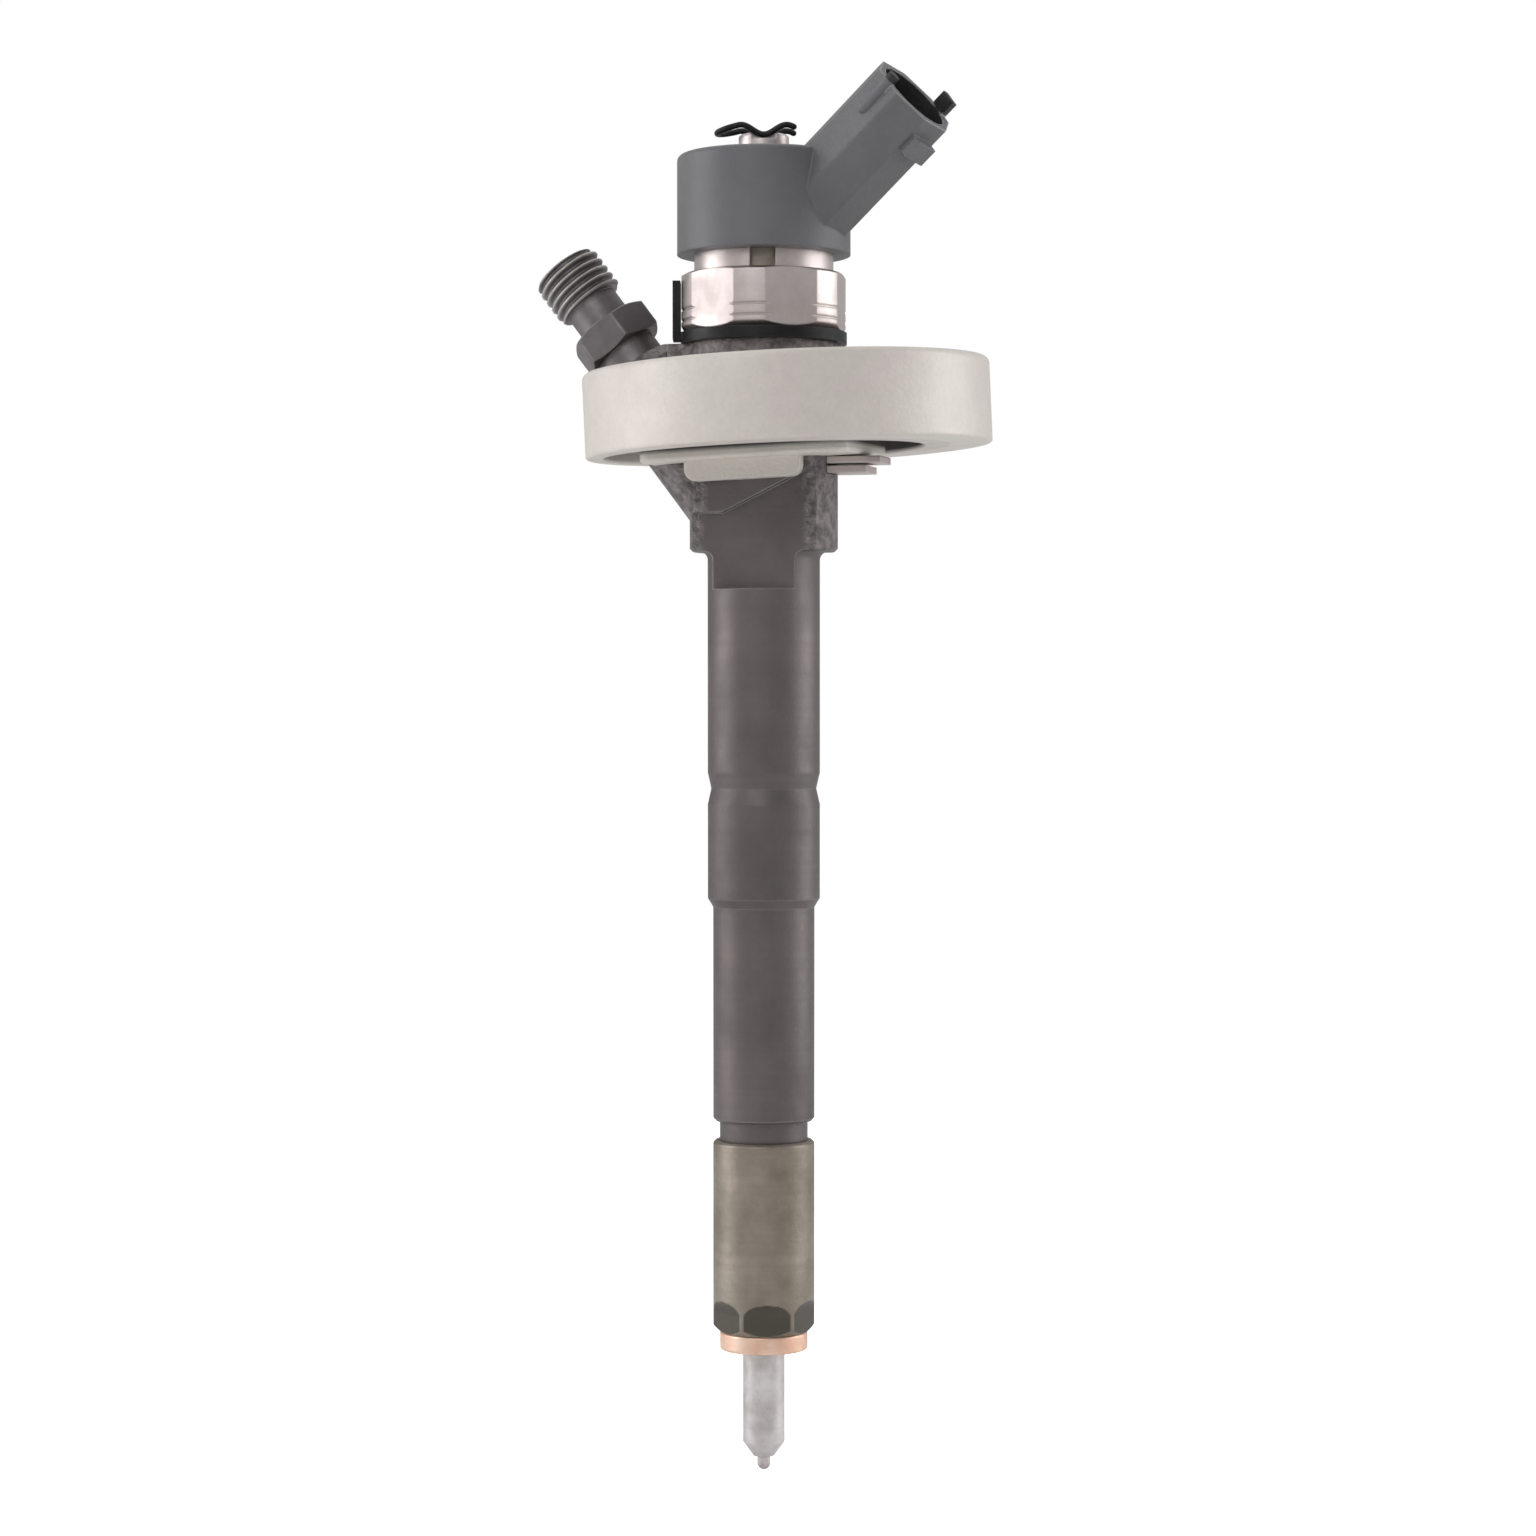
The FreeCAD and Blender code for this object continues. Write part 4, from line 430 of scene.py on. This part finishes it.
union = mounts["inlet_thread"]
union_axis = np.array(union["axis"], float)
union_first = np.array([-union_axis[2], 0, union_axis[0]])
union_second = np.cross(union_axis, union_first)
thread_r = union["dims"]["r_mm"] * MM
thread_start = -union["dims"]["length_mm"] / 2 * MM
thread_end = -thread_start + START_CHAMFER
hex_end = thread_start - RELIEF_LENGTH
hex_start = hex_end - HEX_LENGTH
root_start = hex_start - ROOT_LENGTH
union_outline = softened([
    (DRILL_R, root_start), (ROOT_R, root_start), (ROOT_R, hex_start), (HEX_HALF, hex_start),
    (HEX_CORNER, hex_start + START_CHAMFER), (HEX_CORNER, hex_end - START_CHAMFER), (HEX_HALF, hex_end),
    (RELIEF_R, hex_end), (RELIEF_R, thread_start), (thread_r - START_CHAMFER, thread_start),
    (thread_r, thread_start + START_CHAMFER), (thread_r, thread_end - MOUTH_CHAMFER),
    (thread_r - MOUTH_CHAMFER, thread_end), (CONE_R, thread_end),
    (FILTER_BORE_R, thread_end - CONE_DEPTH), (FILTER_BORE_R, thread_end - FILTER_BORE_DEPTH),
    (DRILL_R, thread_end - FILTER_BORE_DEPTH)], UNION_EASING, 4)
union_outline = divided(union_outline, UNION_MESH)
union_angles = np.linspace(0, 2 * np.pi, UNION_SIDES, endpoint=False)
union_along = union_outline[:, 1:] + 0 * union_angles
union_radii = union_outline[:, :1] + 0 * union_angles
turns = (union_along / THREAD_PITCH - union_angles / (2 * np.pi)) % 1
flank = np.clip((np.abs(2 * turns - 1) - THREAD_CREST) / (1 - THREAD_CREST - THREAD_ROOT), 0, 1)
on_thread = (union_radii > THREAD_OVER_R) & (union_along > thread_start)
on_hexagon = (union_radii > HEX_OVER_R) & (union_along < hex_end + 0.05 * MM)
threaded_r = np.minimum(union_radii, thread_r - THREAD_DEPTH * flank)
hexagonal_r = np.minimum(union_radii, hexagon_r(union_angles, HEX_HALF, HEX_TURN) + 0 * union_radii)
union_radii = np.where(on_thread, threaded_r, np.where(on_hexagon, hexagonal_r, union_radii))
crest_wear = np.where(on_thread, np.clip(1 - 2.5 * flank, 0, 1), 0)
union_points = round_points(union_radii, union_along, union_angles, union["pos_m"],
                            (union_first, union_second), union_axis)
inlet_union = skin("inlet_union", union_points, "injector", ["inlet_adapter"],
                   marks=crest_wear)
union_steel = metal("rubbed phosphate steel", (0.23, 0.21, 0.215), (0.16, 0.145, 0.147), (0.55, 0.53, 0.52),
                    0.34, metallic=0.8, axis=tuple(union_axis), pitch=0.0006, patch=0.006,
                    height=0.00002, edge=0.0003, edge_wear=0.6, marked=(0.5, 0.48, 0.46))
inlet_union.data.materials.append(union_steel)


# ---- Sealing cap ----
# Light alloy casting, shot-blasted to a matt warm grey, that closes the opening of the rocker cover.
# Its hub fits the head and the inlet boss, and its rim is machined by one light cut.

HOLLOW_R = 26.9 * MM
HOLLOW_TOP = 4.5 * MM


def axis_place(tree, place, start, axis):
    """Distance along an axis from its start, and distance away from the axis, of each place."""
    away = add_node(tree, "VectorMath", {0: place, 1: tuple(start)}, operation="SUBTRACT").outputs[0]
    along = add_node(tree, "VectorMath", {0: away, 1: tuple(axis)}, operation="DOT_PRODUCT").outputs["Value"]
    across = add_node(tree, "VectorMath", {0: away, 1: tuple(axis)}, operation="CROSS_PRODUCT").outputs[0]
    return along, add_node(tree, "VectorMath", {0: across}, operation="LENGTH").outputs["Value"]


def band(tree, value, low, high, soft):
    """1 between the two limits, falling to 0 over the soft distance outside each."""
    rise = add_node(tree, "MapRange", {"Value": value, "From Min": low - soft, "From Max": low}).outputs[0]
    fall = add_node(tree, "MapRange", {
        "Value": value, "From Min": high, "From Max": high + soft, "To Min": 1.0, "To Max": 0.0})
    return add_node(tree, "Math", {0: rise, 1: fall.outputs[0]}, operation="MULTIPLY").outputs[0]


def cast_alloy():
    """Matt casting: fine pitted skin, faint clouding, and slightly brighter handled edges. The recess
    between the rim and the hub is coloured near black as painted shade, for the shadow that falls in it."""
    made, tree, surface = new_material("blasted alloy")
    place = add_node(tree, "TexCoord").outputs["Object"]
    rim = mounts["cap_rim"]
    half_rim = rim["dims"]["length_mm"] / 2 * MM
    down, apart = axis_place(tree, place, rim["pos_m"], rim["axis"])
    deep = band(tree, down, -half_rim + HOLLOW_TOP, half_rim - 0.2 * MM, 0.8 * MM)
    # painted shade: a mask of the recess between rim and hub, deep inside the rim
    recess_shade = scaled(tree, deep, band(tree, apart, 0.0, HOLLOW_R, 0.3 * MM))
    clouds = use_group(tree, blotches, {"Vector": place, "Size": 0.02}).outputs["Patches"]
    pits = use_group(tree, blotches, {"Vector": place, "Size": 0.0007}).outputs["Patches"]
    dust = use_group(tree, blotches, {"Vector": place, "Size": 0.003}).outputs["Patches"]
    edges = use_group(tree, soft_edges, {"Radius": 0.0005})
    tint = mixed(tree, clouds, (0.74, 0.7, 0.64), (0.69, 0.63, 0.6))
    tint = mixed(tree, scaled(tree, dust, 0.12), tint, (0.5, 0.47, 0.44))
    tint = mixed(tree, scaled(tree, pits, 0.1), tint, (0.45, 0.42, 0.4))
    tint = mixed(tree, scaled(tree, edges.outputs["Edge"], 0.35), tint, (0.9, 0.88, 0.84))
    # painted shade: the recess inside the rim is coloured near black for the shadow that falls there
    tint = mixed(tree, recess_shade, tint, (0.05, 0.045, 0.043))
    bump = add_node(tree, "Bump", {
        "Strength": 1.0, "Distance": 0.00003, "Height": pits, "Normal": edges.outputs["Normal"]})
    fill_sockets(tree, surface, {
        "Base Color": tint, "Metallic": 0.25, "Roughness": summed(tree, scaled(tree, clouds, 0.1), 0.5),
        "Normal": bump.outputs[0]})
    return made


finish(cast_alloy(), "sealing_cap")


# ---- Plated rings and nut ----
# The solenoid's union nut, the slotted guard ring, the leak-off port and the cap's folded key are
# turned or stamped steel with a bright zinc plating, faintly warm in tint. The sleeve that the nut
# clamps is left as stained as the nozzle nut.

plated_steel = metal("bright plated steel", (0.72, 0.66, 0.64), (0.56, 0.49, 0.48), (0.92, 0.9, 0.87), 0.3,
                     pitch=0.0009, patch=0.008, grain_height=0.2, height=0.000012, edge=0.0004, edge_wear=0.5)
finish(plated_steel, "solenoid_nut", "guard_ring", "return_port", "cap_key")
finish(nut_steel, "solenoid_sleeve")


# ---- Lock washer and wire clip ----
# Spring steel, blacked. The washer's tab is bent up beside the nut. The clip is bent from 1 mm wire:
# two arched legs over the port's collar, which a bow joins at the back.

black_steel = metal("blacked spring steel", (0.022, 0.021, 0.022), (0.012, 0.012, 0.012), (0.2, 0.19, 0.19),
                    0.34, metallic=0.6, patch=0.004, height=0.000015, edge=0.0003, edge_wear=0.4)
finish(black_steel, "lock_washer")

WIRE_R = 0.5 * MM
WIRE_TURN = math.radians(16)
LEG_Y = 3.3 * MM
LEG_FRONT = 5.0 * MM
LEG_BACK = -4.5 * MM
ARCH_LENGTH = 7.6 * MM
ARCH_RISE = 1.6 * MM
BOW_DROP = 0.8 * MM

clip_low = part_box("return_clip")[0]
leg = np.linspace(LEG_FRONT, LEG_BACK, 48)
bow = np.linspace(0, np.pi, 33)[1:-1]


def arched(along):
    """Height over the dip: the squared sine of the way along, over one arch's length."""
    return ARCH_RISE * np.sin(np.pi * along / ARCH_LENGTH) ** 2


wire_x = np.concatenate([leg, LEG_BACK - LEG_Y * np.sin(bow), leg[::-1]])
wire_y = np.concatenate([leg * 0 - LEG_Y, -LEG_Y * np.cos(bow), leg * 0 + LEG_Y])
wire_z = np.concatenate([arched(leg), arched(LEG_BACK) - BOW_DROP * np.sin(bow), arched(leg[::-1])])
wire_z += clip_low.z + WIRE_R
wire_line = np.stack([
    wire_x * math.cos(WIRE_TURN) - wire_y * math.sin(WIRE_TURN),
    wire_x * math.sin(WIRE_TURN) + wire_y * math.cos(WIRE_TURN), wire_z], axis=1)


def wire_points(line, radius, sides=14, cap_steps=5):
    """A round wire along a line: at each point a circle square to the way on, with both ends domed by
    circles that shrink as the cosine of the way out while they move on as its sine."""
    way = np.gradient(line, axis=0)
    way /= np.linalg.norm(way, axis=1)[:, None]
    dome = np.linspace(0, np.pi / 2, cap_steps + 1)[1:, None]
    front = line[:1] - way[:1] * radius * np.sin(dome[::-1])
    back = line[-1:] + way[-1:] * radius * np.sin(dome)
    centres = np.concatenate([front, line, back])
    ways = np.concatenate([np.repeat(way[:1], cap_steps, 0), way, np.repeat(way[-1:], cap_steps, 0)])
    radii = radius * np.concatenate([np.cos(dome[::-1, 0]), np.ones(len(line)), np.cos(dome[:, 0])])
    side = np.cross(ways, (0, 0, 1))
    side /= np.linalg.norm(side, axis=1)[:, None]
    up = np.cross(side, ways)
    angle = np.linspace(0, 2 * np.pi, sides, endpoint=False)[None, :, None]
    circle = np.cos(angle) * side[:, None] + np.sin(angle) * up[:, None]
    return centres[:, None] + radii[:, None, None] * circle


leak_off_clip = skin("leak_off_clip", wire_points(wire_line, WIRE_R), "wire_clip",
                     ["return_clip"], closed=(False, True))
leak_off_clip.data.materials.append(black_steel)


# ---- Connector housing ----
# Glass-filled nylon, blue-grey, moulded round the solenoid and the two pins. Its skin is satin with a
# fine grain, and paler where the glass shows along the edges.

SOCKET_R = 6.5 * MM
SOCKET_DEPTH = 13.0 * MM


def moulded_plastic():
    """Satin moulding: fine spark grain, slow flow clouding and pale rubbed edges. Inside the socket,
    and on the post that guides the plug, the colour is painted almost black as painted shade; the rim of the
    opening carries a painted highlight."""
    made, tree, surface = new_material("glass-filled nylon")
    place = add_node(tree, "TexCoord").outputs["Object"]
    flow = use_group(tree, blotches, {"Vector": place, "Size": 0.014}).outputs["Patches"]
    grain = use_group(tree, blotches, {"Vector": place, "Size": 0.00035}).outputs["Patches"]
    edges = use_group(tree, soft_edges, {"Radius": 0.0005})
    tint = mixed(tree, flow, (0.145, 0.146, 0.157), (0.118, 0.118, 0.129))
    tint = mixed(tree, scaled(tree, grain, 0.15), tint, (0.17, 0.17, 0.18))
    socket = mounts["electric_socket"]
    out, apart = axis_place(tree, place, socket["pos_m"], socket["axis"])
    within = band(tree, apart, 0.0, SOCKET_R, 0.2 * MM)
    inside = scaled(tree, within, band(tree, out, -SOCKET_DEPTH, 0.1, 0.2 * MM))
    beyond = band(tree, out, 0.3 * MM, 0.1, 0.1 * MM)
    shaded = add_node(tree, "Math", {0: inside, 1: beyond}, operation="MAXIMUM").outputs[0]
    # painted highlight: a mask of the edges round the socket's opening
    mouth_highlight = scaled(tree, edges.outputs["Edge"], band(tree, out, -1.5 * MM, 0.3 * MM, 0.3 * MM))
    tint = mixed(tree, scaled(tree, edges.outputs["Edge"], 0.45), tint, (0.3, 0.3, 0.31))
    # painted shade: the socket's inside and the post beyond its opening are coloured near black for the
    # shadow in them
    tint = mixed(tree, shaded, tint, (0.018, 0.018, 0.019))
    # painted highlight: the rim of the socket's opening is coloured pale for the glint it catches
    tint = mixed(tree, scaled(tree, mouth_highlight, 0.8), tint, (0.62, 0.62, 0.63))
    bump = add_node(tree, "Bump", {
        "Strength": 1.0, "Distance": 0.000018, "Height": grain, "Normal": edges.outputs["Normal"]})
    fill_sockets(tree, surface, {
        "Base Color": tint, "Roughness": summed(tree, scaled(tree, grain, 0.12), 0.38),
        "Normal": bump.outputs[0]})
    return made


finish(moulded_plastic(), "connector_housing", "coil_bobbin")

terminal_metal = metal("tinned brass", (0.75, 0.68, 0.45), (0.6, 0.52, 0.32), (0.9, 0.88, 0.82), 0.25,
                       patch=0.003, height=0.00001, edge=0.0002)
finish(terminal_metal, "terminals")


# ---- Pieces inside ----
# Lapped and ground steel for the needle, pistons, valve and shims; wound spring wire; the pressed
# magnet core; copper winding; ceramic ball; and the rubber and plastic seals.

lapped_steel = metal("lapped steel", (0.55, 0.55, 0.55), (0.42, 0.42, 0.42), (0.8, 0.8, 0.8), 0.15,
                     height=0.00001)
finish(lapped_steel, "nozzle_needle", "spring_seat", "nozzle_spring_shim", "control_piston", "valve_body",
       "ball_holder", "lift_shim", "armature_guide", "clamp_screw", "armature_bolt", "spring_shim",
       "dowel_pins", "edge_filter")
spring_wire = metal("spring wire", (0.3, 0.3, 0.31), (0.2, 0.2, 0.21), (0.5, 0.5, 0.5), 0.25,
                    height=0.00001)
finish(spring_wire, "nozzle_spring", "overtravel_spring", "valve_spring", "bolt_clip")
core_iron = metal("pressed core iron", (0.16, 0.16, 0.17), (0.1, 0.1, 0.11), (0.3, 0.3, 0.3), 0.5,
                  grain_height=1.0)
finish(core_iron, "magnet_core", "armature_plate")
finish(copper, "coil_winding")


def plain_seal(name, colour, roughness):
    """Seal or ball: one colour clouded a little darker, with a fine skin."""
    made, tree, surface = new_material(name)
    place = add_node(tree, "TexCoord").outputs["Object"]
    clouds = use_group(tree, blotches, {"Vector": place, "Size": 0.003}).outputs["Patches"]
    darker = tuple(0.7 * part for part in colour)
    fill_sockets(tree, surface, {
        "Base Color": mixed(tree, clouds, colour, darker),
        "Roughness": summed(tree, scaled(tree, clouds, 0.1), roughness)})
    return made


finish(plain_seal("black rubber", (0.02, 0.02, 0.02), 0.5), "solenoid_o_ring")
finish(plain_seal("sealing plastic", (0.22, 0.17, 0.12), 0.4), "high_pressure_seal")
finish(plain_seal("ceramic", (0.85, 0.83, 0.78), 0.08), "valve_ball")


# ---- Studio ----
# Pale floor under the nozzle's tip, a bright plain surround, and soft boxes at both sides that leave
# the face towards the camera a little darker than its edges.

RIGHT = Vector((0.9613, 0.2756, 0))
TOWARD = Vector((0.2756, -0.9613, 0))
UP = Vector((0, 0, 1))

FLOOR_REACH = 4.0
FLOOR_GAP = 0.2 * MM
FLOOR_GLOW = 0.66
ROOM_LIGHT = 0.42

floor_mesh = bpy.data.meshes.new("floor")
floor_z = cad_low.z - FLOOR_GAP
floor_mesh.from_pydata(
    [(-FLOOR_REACH, -FLOOR_REACH, floor_z), (FLOOR_REACH, -FLOOR_REACH, floor_z),
     (FLOOR_REACH, FLOOR_REACH, floor_z), (-FLOOR_REACH, FLOOR_REACH, floor_z)], [], [(0, 1, 2, 3)])
floor = bpy.data.objects.new("floor", floor_mesh)
bpy.context.scene.collection.objects.link(floor)
floor_paint, floor_tree, floor_surface = new_material("pale floor")
direct = add_node(floor_tree, "LightPath").outputs["Is Camera Ray"]
fill_sockets(floor_tree, floor_surface, {
    "Base Color": (0.9, 0.9, 0.9, 1), "Roughness": 0.8, "Emission Color": (1, 1, 1, 1),
    "Emission Strength": scaled(floor_tree, direct, FLOOR_GLOW)})
floor_mesh.materials.append(floor_paint)

world = bpy.data.worlds.new("studio")
bpy.context.scene.world = world
world.use_nodes = True
surround = world.node_tree
seen = add_node(surround, "LightPath").outputs["Is Camera Ray"]
strength = add_node(surround, "MapRange", {"Value": seen, "To Min": ROOM_LIGHT})
fill_sockets(surround, surround.nodes["Background"], {
    "Strength": strength.outputs[0], "Color": (1, 1, 1, 1)})


def soft_box(name, place, aim, width, height, power):
    """A rectangular lamp of the given size in metres, turned to face its aim."""
    lamp = bpy.data.lights.new(name, "AREA")
    lamp.shape = "RECTANGLE"
    lamp.size, lamp.size_y = width, height
    lamp.energy = power
    made = bpy.data.objects.new(name, lamp)
    bpy.context.scene.collection.objects.link(made)
    made.location = place
    made.rotation_euler = (aim - place).to_track_quat("-Z", "Y").to_euler()
    return made


middle = (cad_low + cad_high) / 2
soft_box("left box", middle - 0.8 * RIGHT - 0.02 * TOWARD + 0.1 * UP, middle, 0.5, 1.0, 3.9)
soft_box("right box", middle + 0.8 * RIGHT - 0.08 * TOWARD + 0.1 * UP, middle, 0.5, 1.0, 3.5)
soft_box("front box", middle + 0.9 * TOWARD - 0.3 * RIGHT + 0.6 * UP, middle, 0.6, 0.6, 2.2)
soft_box("top box", middle - 0.3 * TOWARD + 0.9 * UP, middle, 0.8, 0.8, 2.5)

CAMERA_AWAY = 0.6
CAMERA_HEIGHT = 0.107
AIM_RIGHT = 0.7 * MM
AIM_HEIGHT = 97.5 * MM

camera_lens = bpy.data.cameras.new("camera")
camera_lens.sensor_width = 36.0
camera_lens.lens = 83.9
camera_lens.clip_start, camera_lens.clip_end = 0.01, 20.0
camera = bpy.data.objects.new("camera", camera_lens)
bpy.context.scene.collection.objects.link(camera)
camera.location = CAMERA_AWAY * TOWARD + CAMERA_HEIGHT * UP
camera_aim = AIM_RIGHT * RIGHT + AIM_HEIGHT * UP
camera.rotation_euler = (camera_aim - camera.location).to_track_quat("-Z", "Y").to_euler()
bpy.context.scene.camera = camera
bpy.context.scene.view_settings.view_transform = "Standard"
